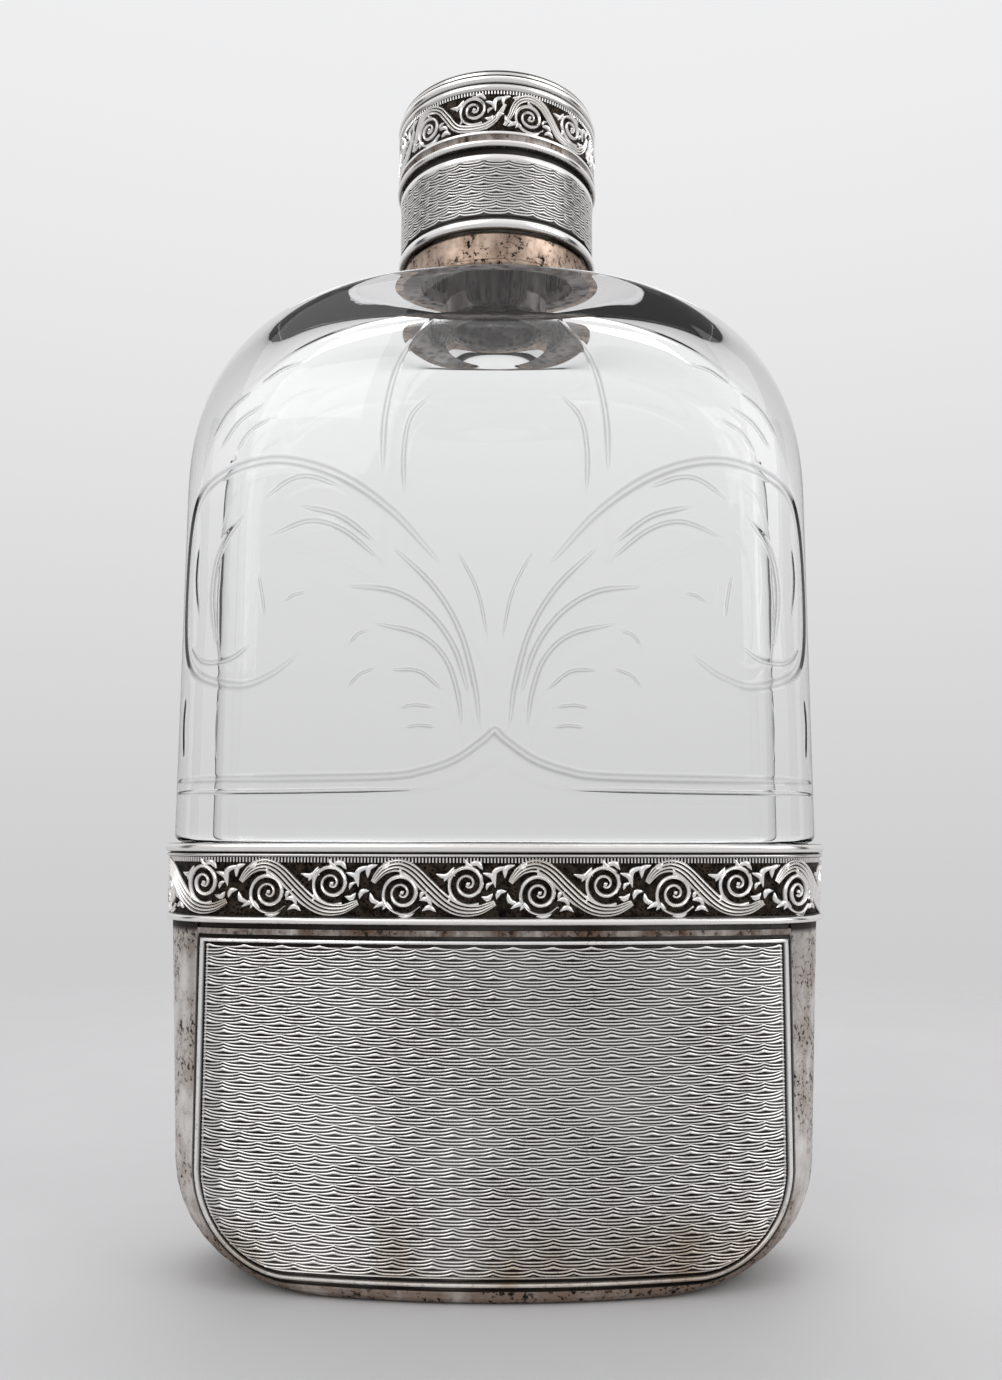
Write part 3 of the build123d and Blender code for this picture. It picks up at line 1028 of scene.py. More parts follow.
class BorderWrap:
    """Repeats one motif along a closed path, bent to follow it."""

    def __init__(self) -> None:
        """Builds the tree."""
        group = SharedGroup(
            "Border Wrap", "GeometryNodeTree",
            {"Motif": ("Geometry", None), "Path": ("Object", None), "Repeats": ("Int", 12),
             "Pitch": ("Float", 15.5 * MM), "Foot": ("Float", 0.0), "Lean": ("Float", 0.0),
             "Metal": ("Material", None)},
            {"Border": "Geometry"},
        )
        tree, source = group.tree, group.source.outputs
        step = tree.add("ShaderNodeCombineXYZ", {0: source["Pitch"]}).outputs[0]
        row = tree.add("GeometryNodeMeshLine", {"Count": source["Repeats"], "Offset": step},
                       mode="OFFSET", count_mode="TOTAL").outputs[0]
        motifs = tree.add("GeometryNodeInstanceOnPoints", {"Points": row, "Instance": source["Motif"]})
        flat = tree.add("GeometryNodeRealizeInstances", {0: motifs.outputs[0]}).outputs[0]
        position = tree.add("GeometryNodeInputPosition").outputs[0]
        spot = tree.add("ShaderNodeSeparateXYZ", {0: position}).outputs
        length = tree.sum("MULTIPLY", source["Pitch"], source["Repeats"])
        share = tree.sum("FRACT", tree.sum("DIVIDE", spot[0], length))
        path = tree.add("GeometryNodeObjectInfo", {0: source["Path"]}, transform_space="ORIGINAL")
        sample = tree.add("GeometryNodeSampleCurve", {"Curves": path.outputs["Geometry"], "Factor": share},
                          mode="FACTOR", use_all_curves=True).outputs
        out = tree.vector("NORMALIZE", tree.vector("CROSS_PRODUCT", sample["Tangent"], (0.0, 0.0, 1.0)))
        reach = tree.sum("ADD", spot[1], tree.sum("MULTIPLY", source["Lean"], spot[2]))
        up = tree.add("ShaderNodeCombineXYZ", {2: tree.sum("ADD", spot[2], source["Foot"])}).outputs[0]
        on_path = tree.vector("ADD", tree.vector("ADD", sample["Position"], tree.scaled(out, reach)), up)
        bent = tree.add("GeometryNodeSetPosition", {"Geometry": flat, "Position": on_path}).outputs[0]
        self.tree = group.put_out(Border=tree.dressed(bent, source["Metal"]))
        self.inputs = group.identifiers()

    def wrap(self, motif: bpy.types.Object, path: np.ndarray, repeats: int, pitch: float, foot: float,
             lean: float, metal: bpy.types.Material) -> bpy.types.Object:
        """Wraps a motif round a path.

        Args:
            motif: One length of the border, flat: x along it, y outwards, z up.
            path: The closed path's points, in the level plane.
            repeats: How many motifs go round.
            pitch: The motif's own length.
            foot: Height of the border's lower edge.
            lean: How fast the surface leans outwards.
            metal: The border's finish.

        Returns:
            The border as a plain mesh, in the motif's own object.
        """
        curve = bpy.data.curves.new("border_path", "CURVE")
        curve.dimensions = "3D"
        spline = curve.splines.new("POLY")
        spline.points.add(len(path) - 1)
        rows = np.column_stack([path * MM, np.zeros(len(path)), np.ones(len(path))])
        spline.points.foreach_set("co", rows.astype(np.float32).ravel())
        spline.use_cyclic_u = True
        guide = bpy.data.objects.new("border_path", curve)
        bpy.context.scene.collection.objects.link(guide)
        settle(motif, self.tree, self.inputs, {
            "Path": guide, "Repeats": repeats, "Pitch": pitch * MM, "Foot": foot * MM, "Lean": lean,
            "Metal": metal,
        })
        bpy.data.objects.remove(guide)
        return motif


# ---- The cut-glass bottle -----------------------------------------------------------------------
@dataclass(frozen=True)
class WheelCut:
    """One stroke of the cutter's wheel, by its places across and up the front face."""

    points: tuple[tuple[float, float], ...]
    width: float = 0.7
    depth: float = 0.1

    @property
    def line(self) -> np.ndarray:
        """The stroke's middle line, closely divided."""
        return smooth_line(self.points, 0.33)

    @staticmethod
    def bite(share: np.ndarray) -> np.ndarray:
        """How fully the wheel bites, from 0 at both ends of the stroke to 1."""
        return np.clip(np.minimum(share, 1 - share) * 5, 0, 1) ** 0.5

    def half(self, share: np.ndarray) -> np.ndarray:
        """Half the stroke's width along its length."""
        return self.width / 2 * (0.35 + 0.65 * self.bite(share))


@dataclass
class GlassBottle:
    """One piece of glass: a foot inside the cup, flat shoulders and a neck round a smooth cavity."""

    foot_bottom: float = 6.3
    foot_round: float = 3.0
    foot_gap: float = 0.35
    ledge: float = 48.3
    ledge_round: float = 0.8
    half_width: float = 38.5
    half_depth: float = 13.5
    shoulder: tuple[float, float] = (90.0, 116.2)
    shoulder_top: tuple[float, float] = (14.5, 12.3)
    shoulder_power: float = 2.4
    face_turn: float = 97.0
    cavity_half: tuple[float, float] = (34.4, 10.0)
    cavity_floor: float = 10.8
    cavity_corner: float = 12.0
    cavity_shoulder: tuple[float, float] = (88.0, 111.8)
    cavity_top: tuple[float, float] = (8.0, 6.6)
    neck_radius: float = 9.0
    bore_radius: float = 6.0
    lip_top: float = 134.3
    lip_round: float = 0.8
    face_steps: int = 60
    side_steps: int = 30
    side_steps_cut: int = 12
    cut_from: float = 50.1
    cut_to: float = 110.1

    def strokes(self) -> list[WheelCut]:
        """The engraving: two big leaf scrolls that spring from the middle and a brace line below.

        Returns:
            The strokes of both halves.
        """
        left = [
            WheelCut(((-6.5, 80), (-12, 86), (-18.5, 90.5), (-25.5, 92.5), (-31.5, 91.5), (-36.5, 88.5),
                      (-38.7, 82), (-38.7, 73), (-36, 68), (-30, 66), (-26, 67), (-23, 69)), 1.5, 0.16),
            WheelCut(((-37, 71), (-34.5, 69), (-31, 69), (-28.5, 70.5)), 0.8),
            WheelCut(((-29.5, 86), (-32.5, 82), (-33.5, 77), (-32.7, 71)), 0.9, 0.12),
            WheelCut(((-36, 83), (-36.3, 79), (-35.5, 74.5)), 0.6),
            WheelCut(((-27, 88), (-24, 90), (-21.5, 90.3), (-18, 89)), 0.8),
            WheelCut(((-22.5, 86.8), (-18, 85.5), (-14, 82.5)), 0.9, 0.12),
            WheelCut(((-26, 83.5), (-21.5, 85), (-17.5, 83.8), (-13.5, 80.5)), 0.8),
            WheelCut(((-11.5, 81.5), (-7, 77), (-4, 72), (-2.3, 66), (-1.7, 61.5)), 0.9, 0.12),
            WheelCut(((-4.2, 81), (-2, 76.5), (-0.9, 71.5)), 0.5),
            WheelCut(((-16.5, 77.2), (-11.5, 76.5), (-7.5, 74), (-4.6, 70), (-3, 65)), 0.9, 0.12),
            WheelCut(((-13.5, 72.8), (-8.5, 71.5), (-5.6, 68.8), (-4.2, 65), (-3.7, 61.5)), 0.8),
            WheelCut(((-24.2, 75.6), (-23.2, 76.3), (-21.8, 76.6)), 0.5),
            WheelCut(((-16.5, 70.5), (-15.6, 71.6), (-14.5, 72)), 0.5),
            WheelCut(((-11.5, 67.5), (-8.5, 67.3), (-6, 65.3)), 0.6),
            WheelCut(((-16.5, 65.7), (-15.3, 67), (-13.5, 67.7)), 0.5),
            WheelCut(((-10, 61), (-8.3, 61.2), (-6.6, 61)), 0.5),
            WheelCut(((-10.6, 63.2), (-9, 63.5), (-7, 63.3)), 0.5),
            WheelCut(((-39.5, 53.9), (-24, 53.9), (-8.5, 54.1)), 0.6, 0.2),
            WheelCut(((-27.5, 79), (-27, 76.5), (-26.6, 74)), 0.5),
            WheelCut(((-9, 109.3), (-12, 104.5), (-13, 98), (-13, 91)), 1.0),
            WheelCut(((-8, 99.5), (-10, 97), (-10.6, 93), (-10.5, 88.5)), 0.8),
            WheelCut(((-34.5, 96), (-32.8, 99), (-30.5, 101)), 0.7),
            WheelCut(((-33, 94.5), (-31, 97.5), (-28.5, 99.3)), 0.7),
            WheelCut(((-30.8, 93.8), (-29.4, 96.2), (-27, 97.6)), 0.6),
            WheelCut(((-29.5, 102), (-27.5, 103.6), (-25, 104.3)), 0.6),
            WheelCut(((-38, 58), (-38.4, 62), (-38, 65)), 0.6),
        ]
        right = [WheelCut(tuple((-x, z) for x, z in cut.points), cut.width, cut.depth) for cut in left]
        rise = ((-39.5, 55.3), (-24, 55.3), (-12, 55.5), (-8, 56.1), (-4.5, 57.3), (-1.8, 59.1), (-0.5, 60.2))
        brace = (*rise, (0, 60.7), *((-x, z) for x, z in reversed(rise)))
        return [*left, *right, WheelCut(brace, 1.3, 0.26)]

    def foot_section(self, z: np.ndarray) -> tuple[np.ndarray, np.ndarray]:
        """Half width and depth of the foot that stands in the cup."""
        width, depth = cup_section(z, CUP_WALL + self.foot_gap)
        draw = fall(z - self.foot_bottom, self.foot_round)
        return width - draw, depth - draw

    def body_section(self, z: np.ndarray) -> tuple[np.ndarray, np.ndarray]:
        """Half width and depth above the ledge."""
        draw = fall(z - self.ledge, self.ledge_round)
        width = arch(z, *self.shoulder, self.half_width, self.shoulder_top[0], self.shoulder_power)
        depth = arch(z, self.face_turn, self.shoulder[1], self.half_depth, self.shoulder_top[1], 2.0)
        return width - draw, depth - draw

    def cavity_section(self, z: np.ndarray) -> tuple[np.ndarray, np.ndarray]:
        """Half width and depth of the space for the drink."""
        width = arch(z, *self.cavity_shoulder, self.cavity_half[0], self.cavity_top[0], self.shoulder_power)
        depth = arch(z, *self.cavity_shoulder, self.cavity_half[1], self.cavity_top[1], 2.0)
        rise = z - self.cavity_floor
        return width - fall(rise, self.cavity_corner), depth - fall(rise, self.foot_round)

    def rings(self, section: Section, heights: Sequence[float]) -> np.ndarray:
        """Rings of points up the bottle.

        Args:
            section: Half width and depth at each height.
            heights: The heights.

        Returns:
            One row of points for each height.
        """
        z = np.array(heights, float)
        width, depth = section(z)
        turns = round_turns(self.face_steps, self.side_steps)
        flat = lens_point(width[:, None], depth[:, None], turns[None, :])
        return np.dstack([flat[..., 0], flat[..., 1], np.broadcast_to(z[:, None], flat.shape[:2])])

    def circles(self, sizes: Profile) -> np.ndarray:
        """Round rings, one row of points for each radius and height."""
        radius, height = np.array(sizes, float).T
        return self.rings(lambda _: (radius, radius), height)

    @staticmethod
    def round_heights(bottom: float, radius: float, steps: int) -> list[float]:
        """Heights that divide a round edge into equal turns."""
        return [bottom + radius * (1 - math.cos(math.pi / 2 * i / steps)) for i in range(steps + 1)]

    @staticmethod
    def arch_heights(start: float, top: float, steps: int) -> list[float]:
        """Heights that divide an arched shoulder into equal turns."""
        return [start + (top - start) * math.sin(math.pi / 2 * i / steps) for i in range(steps + 1)]

    def outside(self) -> tuple[np.ndarray, int, int]:
        """The outer skin from the foot's base up to the lip and down to the top of the cavity.

        Returns:
            The rows of points, and the rows where the cut part of the front starts and ends.
        """
        foot = self.round_heights(self.foot_bottom, self.foot_round, 6)
        foot += [10.4, 11.5, 12.6, 13.7, 15, 20, 26, 32, 38, 44, self.ledge - 0.05]
        body = self.round_heights(self.ledge, self.ledge_round, 4) + [self.cut_from]
        body += list(np.arange(self.cut_from + 1, self.shoulder[0], 1.0))
        upper = [z for z in self.arch_heights(*self.shoulder, 44) if abs(z - self.cut_to) > 0.25]
        body = sorted(body + upper + [self.cut_to])
        root, neck, bore, top = self.shoulder[1], self.neck_radius, self.bore_radius, self.lip_top
        round_ = self.lip_round
        upright = [(10.4, root + 0.02), (9.5, root + 0.2), (9.1, root + 0.7), (neck, root + 1.4), (neck, 125.0)]
        upright += [(neck - round_ * (1 - math.cos(t)), top - round_ * (1 - math.sin(t)))
                    for t in np.linspace(0, math.pi / 2, 5)]
        upright += [(bore + 0.4, top), (bore + 0.1, top - 0.15), (bore, top - 0.6), (bore, 123.0),
                    (bore, 114.0), (bore + 0.15, 112.8), (bore + 0.5, 112.1)]
        rows = np.concatenate([
            self.rings(self.foot_section, foot), self.rings(self.body_section, body), self.circles(upright),
        ])
        start = len(foot) + body.index(self.cut_from)
        return rows, start, len(foot) + body.index(self.cut_to)

    def inside(self) -> np.ndarray:
        """The cavity's skin from its top down to its floor."""
        low = self.round_heights(self.cavity_floor, self.foot_round, 5)
        corner = self.round_heights(self.cavity_floor, self.cavity_corner, 14)
        low += [z for z in corner if z > low[-1] + 0.2]
        heights = low + [30, 40, 50, 60, 70, 80] + self.arch_heights(*self.cavity_shoulder, 34)
        return self.rings(self.cavity_section, sorted(heights, reverse=True))

    def face_run(self) -> tuple[float, float]:
        """Lengths of half the front arc and of a side arc at full width."""
        _, side, face = lens_arcs(np.array(self.half_width), np.array(self.half_depth))
        return float(face) * LENS_TURN, float(side) * (math.pi - 2 * LENS_TURN)

    def turn_at(self, along: np.ndarray) -> np.ndarray:
        """The place round a ring for a distance along the front from its middle.

        Args:
            along: Distances along the surface, positive to the right.

        Returns:
            The turns for lens_point.
        """
        half, side = self.face_run()
        beyond = np.clip(np.abs(along) - half, 0, None) / side
        past = np.where(along > 0, 1 + beyond, 4 - beyond)
        return np.where(np.abs(along) <= half, 0.5 + along / (2 * half), past)

    def depth_of_cut(self, spots: np.ndarray) -> tuple[np.ndarray, np.ndarray]:
        """How deep the wheel went and how matt it left the glass.

        Args:
            spots: Places along and up the front.

        Returns:
            The depth and the mattness, from 0 to 1, of each.
        """
        depth, matt = np.zeros(len(spots)), np.zeros(len(spots))
        for cut in self.strokes():
            line = cut.line
            near = np.flatnonzero(np.all((spots > line.min(0) - 1.2) & (spots < line.max(0) + 1.2), axis=1))
            if not len(near):
                continue
            start, run = line[:-1], np.diff(line, axis=0)
            gap = spots[near, None, :] - start[None]
            share = np.clip((gap * run).sum(-1) / (run**2).sum(-1), 0, 1)
            away = np.linalg.norm(gap - share[..., None] * run, axis=-1)
            nearest = away.argmin(1)
            rows = np.arange(len(near))
            place_ = (nearest + share[rows, nearest]) / len(run)
            taper = cut.bite(place_)
            inside = np.clip(1 - away[rows, nearest] / cut.half(place_), 0, 1)
            depth[near] = np.maximum(depth[near], cut.depth * taper * (1 - (1 - inside) ** 2))
            matt[near] = np.maximum(matt[near], (0.25 + 0.75 * taper) * 4 * inside * (1 - inside))
        return depth, matt

    def cut_face(self, rows: np.ndarray, start: int, end: int) -> tuple[np.ndarray, list, np.ndarray]:
        """The engraved part of the front, finely divided along every stroke.

        Args:
            rows: The outer skin's rows, which give the part its edges.
            start: The row at its lower edge.
            end: The row at its upper edge.

        Returns:
            Its points, its faces and its mattness.
        """
        half, side = self.face_run()
        ends = np.arange(1, self.side_steps_cut + 1) / self.side_steps * side
        face = np.linspace(-half, half, self.face_steps + 1)
        along = np.concatenate([-(half + ends[::-1]), face, half + ends])
        heights = rows[start:end + 1, 0, 2]
        edge = [(s, z) for s in along for z in (heights[0], heights[-1])]
        edge += [(s, z) for s in (along[0], along[-1]) for z in heights[1:-1]]
        grid = [(s, z) for s in along[1:-1] for z in heights[1:-1]]
        margin, fine, coarse = 0.35, 0.06, 0.4   # from the edge, between stroke points, round a stroke
        limit_s, limit_z = along[-1] - margin, (heights[0] + margin, heights[-1] - margin)
        taken = {(round(s / fine), round(z / fine)) for s, z in edge}
        spots = list(edge)
        for cut in self.strokes():
            line = cut.line
            across = sideways(line)
            half_width = cut.half(np.linspace(0, 1, len(line)))[:, None]
            steps = (0 * half_width, half_width * 0.5, half_width, half_width + 0.16)
            for offset in (*steps, *(-step for step in steps[1:])):
                for s, z in line + across * offset:
                    key = (round(s / fine), round(z / fine))
                    if abs(s) < limit_s and limit_z[0] < z < limit_z[1] and key not in taken:
                        taken.add(key)
                        spots.append((s, z))
        busy = {(int(s // coarse) + i, int(z // coarse) + j)
                for s, z in spots[len(edge):] for i in (-1, 0, 1) for j in (-1, 0, 1)}
        spots += [(s, z) for s, z in grid if (int(s // coarse), int(z // coarse)) not in busy]
        flat, _, faces, *_ = delaunay_2d_cdt([Vector(p) for p in spots], [], [], 0, 1e-4)
        flat = np.array([tuple(p) for p in flat])
        depth, matt = self.depth_of_cut(flat)
        turns = self.turn_at(flat[:, 0])
        place_ = lens_point(*self.body_section(flat[:, 1]), turns)
        sunk = place_[:, :2] - depth[:, None] * place_[:, 2:]
        return np.column_stack([sunk, flat[:, 1]]), [list(face) for face in faces], matt

    def build(self, finishes: Finishes) -> bpy.types.Object:
        """Makes the bottle.

        Args:
            finishes: The flask's materials.

        Returns:
            The finished piece.
        """
        outer, start, end = self.outside()
        inner = self.inside()
        rows = np.concatenate([outer, inner])
        maker = MeshMaker()
        count = rows.shape[1]
        faces = []
        for j in range(len(rows) - 1):
            for i in range(count):
                in_front = not self.face_steps + self.side_steps_cut <= i < count - self.side_steps_cut
                if not (start <= j < end and in_front):
                    k = (i + 1) % count
                    faces.append((j * count + i, j * count + k, (j + 1) * count + k, (j + 1) * count + i))
        maker.add(rows.reshape(-1, 3), faces)
        points, patch, matt = self.cut_face(outer, start, end)
        maker.add(points, patch, values={"recess": matt})
        maker.cap(rows[0], (0, 0, rows[0, 0, 2]))
        maker.cap(rows[-1], (0, 0, rows[-1, 0, 2]))
        bottle = maker.build("cut_glass_bottle", [finishes.glass], sharp=32.0)
        return place(bottle, Body.FLASK, Slot.GLASS, "glass_body")


# ---- The neck's mounts --------------------------------------------------------------------------
@dataclass
class NeckMounts:
    """The plain collar on the shoulder with its foot wire, and the threaded sleeve above it."""

    foot: float = 116.2
    top: float = 120.6
    radius: float = 11.9
    wall: float = 0.8
    sleeve_inner: float = 9.6
    wire: float = 0.9
    wire_reach: float = 0.45

    def build(self, finishes: Finishes) -> list[bpy.types.Object]:
        """Makes the collar and its wire, and dresses the sleeve and the cement.

        Args:
            finishes: The flask's materials.

        Returns:
            The new pieces.
        """
        inner, roof, foot, top = self.radius - self.wall, self.top - self.wall, self.foot, self.top
        radius, over_wire = self.radius, self.foot + self.wire
        collar = ring("neck_collar_band", turned([
            (inner, foot), (radius, foot), (radius, foot + 1.2), (radius - 0.06, foot + 2.2),
            (radius - 0.06, top - 0.9), (radius, top - 0.55), (radius, top - 0.25),
            (radius - 0.08, top - 0.08), (radius - 0.25, top), (self.sleeve_inner, top),
            (self.sleeve_inner, roof), (inner, roof),
        ]), finishes.collar, 50)
        crest = bead(foot, over_wire, radius + 0.1, radius + self.wire_reach)
        section = [(radius, foot), *over(crest), (radius, over_wire)]
        wire = ring("collar_foot_bead", turned(section), finishes.collar, 60)
        dress("neck_thread_sleeve", finishes.silver)
        dress("neck_cement", finishes.cement)
        return [
            place(collar, Body.FLASK, Slot.TARNISHED, "neck_collar"),
            place(wire, Body.FLASK, Slot.TARNISHED, "collar_foot_wire"),
        ]


def dress(node: str, finish: bpy.types.Material) -> None:
    """Gives a CAD node, whose shape is kept, its finish.

    Args:
        node: The node's name.
        finish: Its material.
    """
    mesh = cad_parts[node].data
    mesh.materials.clear()
    mesh.materials.append(finish)
    LOG.info("%s: CAD shape kept, in %s", node, finish.name)


# ---- The scroll border --------------------------------------------------------------------------
class Ribbon(Enum):
    """How a scroll border's ribbon runs past the two spirals of a motif, as shares of its size."""

    FALLING = ((0.10, 0.58), (0.17, 0.78), (0.28, 0.87), (0.39, 0.76), (0.51, 0.49), (0.63, 0.24),
               (0.74, 0.12), (0.87, 0.12), (0.99, 0.24))
    WAVING = ((0.07, 0.14), (0.13, 0.42), (0.19, 0.74), (0.30, 0.88), (0.43, 0.78), (0.53, 0.48),
              (0.62, 0.20), (0.76, 0.10), (0.92, 0.16), (1.02, 0.40), (1.08, 0.66))


# Across a ridge: how far aside, how high and how dark; the dark at its feet is oxide with painted shade
RIDGE = ((-1.0, -0.04, 0.8), (-0.7, 0.62, 0.05), (0.0, 1.0, 0.0), (0.7, 0.62, 0.05), (1.0, -0.04, 0.8))
# The foot, the tip and the bend of each leaf in a motif
LEAVES = (
    ((0.99, 0.50), (1.09, 0.86), 0.35), ((0.90, 0.74), (0.99, 0.52), 0.25),
    ((0.56, 0.72), (0.69, 0.84), -0.3), ((0.62, 0.60), (0.70, 0.70), 0.3),
    ((0.44, 0.28), (0.53, 0.20), 0.3), ((0.10, 0.14), (0.25, 0.10), 0.3),
    ((0.25, 0.10), (0.42, 0.13), -0.3), ((0.08, 0.40), (0.15, 0.24), -0.3),
    ((0.00, 0.30), (0.07, 0.44), 0.3), ((0.46, 0.10), (0.56, 0.09), 0.3),
    ((0.06, 0.66), (0.13, 0.88), 0.3), ((0.89, 0.34), (0.97, 0.40), -0.3),
    ((0.80, 0.88), (0.90, 0.80), 0.3), ((0.15, 0.84), (0.22, 0.93), -0.2),
)


class Motif:
    """One length of the leaf-scroll border, laid out flat as low rounded ridges.

    Places in it are shares of its length and its height.
    """

    def __init__(self, length: float, height: float, lift: float) -> None:
        """Sets the motif's size.

        Args:
            length: Its length along the border.
            height: The border's height.
            lift: How far the ground is outside the surface.
        """
        self.length = length
        self.height = height
        self.lift = lift
        self.maker = MeshMaker()

    def around(self, middle: tuple[float, float], radius: float, angle: float) -> tuple[float, float]:
        """The place at a distance, in millimetres, and an angle from another place."""
        return (middle[0] + radius * math.cos(angle) / self.length,
                middle[1] + radius * math.sin(angle) / self.height)

    def ridge(self, points: Profile, width: float, rise: float, taper: float = 1.0) -> None:
        """Adds one ridge.

        Args:
            points: Places on its middle line.
            width: Its width at its widest.
            rise: How far it stands off the ground.
            taper: How far it narrows at its ends: 1 to a point, 0 not at all.
        """
        line = smooth_line([(u * self.length, v * self.height) for u, v in points], 0.28)
        across = sideways(line)
        share = np.linspace(0, 1, len(line))
        swell = 1 - taper * (1 - np.sin(np.pi * np.clip(share, 0.02, 0.98)) ** 0.6)
        half = width / 2 * swell
        rows = []
        for aside, high, _ in RIDGE:
            spot = line + across * (aside * half)[:, None]
            rows.append(np.column_stack([spot[:, 0], self.lift + rise * high * swell**0.5, spot[:, 1]]))
        shade = np.broadcast_to(np.array([dark for *_, dark in RIDGE])[:, None], (len(RIDGE), len(line)))
        self.maker.grid(np.array(rows), values={"recess": shade})

    def spiral(self, middle: tuple[float, float], reach: tuple[float, float], start: float, turns: float,
               width: float, rise: float) -> None:
        """Adds a spiral ridge that winds inwards.

        Args:
            middle: Its middle.
            reach: Its first and last radius, in millimetres.
            start: The angle it starts from, in degrees.
            turns: How many turns it makes, negative for clockwise.
            width: The ridge's width.
            rise: How far it stands off the ground.
        """
        steps = 26
        points = []
        for share in (i / steps for i in range(steps + 1)):
            radius = reach[0] + (reach[1] - reach[0]) * share**0.9
            points.append(self.around(middle, radius, math.radians(start + 360 * turns * share)))
        self.ridge(points, width, rise, 0.45)

    def leaf(self, foot: tuple[float, float], tip: tuple[float, float], bend: float, width: float,
             rise: float) -> None:
        """Adds a small leaf: a ridge with a swelling middle that curls to its tip.

        Args:
            foot: Where it springs from.
            tip: Its tip.
            bend: How far its middle is pushed aside, as a share of its length.
            width: Its width.
            rise: How far it stands off the ground.
        """
        middle = ((foot[0] + tip[0]) / 2 - (tip[1] - foot[1]) * bend * self.height / self.length,
                  (foot[1] + tip[1]) / 2 + (tip[0] - foot[0]) * bend * self.length / self.height)
        self.ridge([foot, middle, tip], width, rise)

    def ribbon(self, points: Profile, strands: int, gap: float, width: float, rise: float) -> None:
        """Adds a ribbon of ridges side by side, which draw together at its ends.

        Args:
            points: Places on the ribbon's middle line.
            strands: How many ridges it has.
            gap: Distance between them, in millimetres.
            width: Width of each.
            rise: How far they stand off the ground.
        """
        size = np.array([self.length, self.height])
        line = smooth_line([(u * size[0], v * size[1]) for u, v in points], 0.9)
        across = sideways(line)
        spread = np.sin(np.pi * np.linspace(0.04, 0.96, len(line))) ** 0.5
        for k in range(strands):
            shift = (k - (strands - 1) / 2) * gap
            self.ridge((line + across * (spread * shift)[:, None]) / size, width, rise, 0.5)

    def scroll(self, style: Ribbon, scale: float, rise: float) -> bpy.types.Object:
        """Fills the motif: a low and a high spiral, the ribbon that links them, and leaves.

        Args:
            style: How the ribbon runs.
            scale: Size of the ridges against the cup's border.
            rise: How far the boldest ridges stand off the ground.

        Returns:
            The motif as a flat object.
        """
        line = 0.56 * scale
        strands = 4 if style is Ribbon.FALLING else 3
        self.spiral((0.31, 0.40), (2.5 * scale, 0.3 * scale), -35, -2.3, line, rise)
        self.spiral((0.79, 0.56), (2.4 * scale, 0.3 * scale), -60, -2.2, line, rise)
        for u, v in ((0.31, 0.39), (0.79, 0.54)):
            self.ridge([(u - 0.012, v), (u + 0.016, v + 0.04)], 0.6 * scale, rise, 0.9)
            for turn in (math.radians(angle) for angle in (75, -15, 200)):
                foot = self.around((u, v), 2.1 * scale, turn)
                tip = self.around((u, v), 2.8 * scale, turn + 0.35)
                self.leaf(foot, tip, 0.25, 0.55 * scale, rise * 0.85)
        self.ribbon(style.value, strands, 0.47 * scale, 0.39 * scale, rise * 0.9)
        for foot, tip, bend in LEAVES:
            self.leaf(foot, tip, bend, 0.72 * scale, rise * 0.8)
        return self.finish("scroll_motif")

    def hatch(self, low: float, high: float, bars: int, rise: float) -> bpy.types.Object:
        """Fills the motif with short upright bars.

        Args:
            low: Their lower ends.
            high: Their upper ends.
            bars: How many.
            rise: How far they stand off the ground.

        Returns:
            The motif as a flat object.
        """
        half = self.length / bars * 0.3
        # The bars' sides are darker: oxide, with painted shade.
        section = ((-half, 0.0, 0.7), (-half * 0.5, rise, 0.1), (half * 0.5, rise, 0.1), (half, 0.0, 0.7))
        shade = np.repeat([[dark] for *_, dark in section], 2, axis=1)
        for k in range(bars):
            u = (k + 0.5) / bars * self.length
            rows = [[(u + aside, self.lift + up, z) for z in (high, low)] for aside, up, _ in section]
            self.maker.grid(np.array(rows), values={"recess": shade})
        return self.finish("hatch_motif")

    def finish(self, name: str) -> bpy.types.Object:
        """Makes the flat object."""
        return self.maker.build(name, [], sharp=75, outward=False)


@dataclass(frozen=True)
class ScrollBorder:
    """Leaf scrolls and a hatched upper edge, raised on a dark ground and wrapped round a ring."""

    style: Ribbon
    scale: float
    rise: float
    lift: float
    repeats: int
    hatchings: int
    bars: int
    hatch_height: float
    hatch_rise: float
    lean: float = 0.0

    def build(self, name: str, ground: np.ndarray, path: np.ndarray, length: float,
              span: tuple[float, float], wrap: BorderWrap, finishes: Finishes) -> bpy.types.Object:
        """Makes the band.

        Args:
            name: The piece's name.
            ground: The ground's section, carried round.
            path: The closed path that the motifs follow, in the level plane.
            length: Its length.
            span: Heights of the band's lower and upper edge.
            wrap: The tree that carries a motif round a path.
            finishes: The flask's materials.

        Returns:
            The band.
        """
        low, height = span[0], span[1] - span[0]
        base = ring(f"{name}_ground", ground, finishes.ground, 50)
        scrolls = Motif(length / self.repeats, height, self.lift).scroll(self.style, self.scale, self.rise)
        hatching = Motif(length / self.hatchings, height, self.lift).hatch(
            height - self.hatch_height, height - 0.02, self.bars, self.hatch_rise
        )
        for motif, repeats in ((scrolls, self.repeats), (hatching, self.hatchings)):
            wrap.wrap(motif, path, repeats, length / repeats, low, self.lean, finishes.relief)
        return join(name, [base, scrolls, hatching])


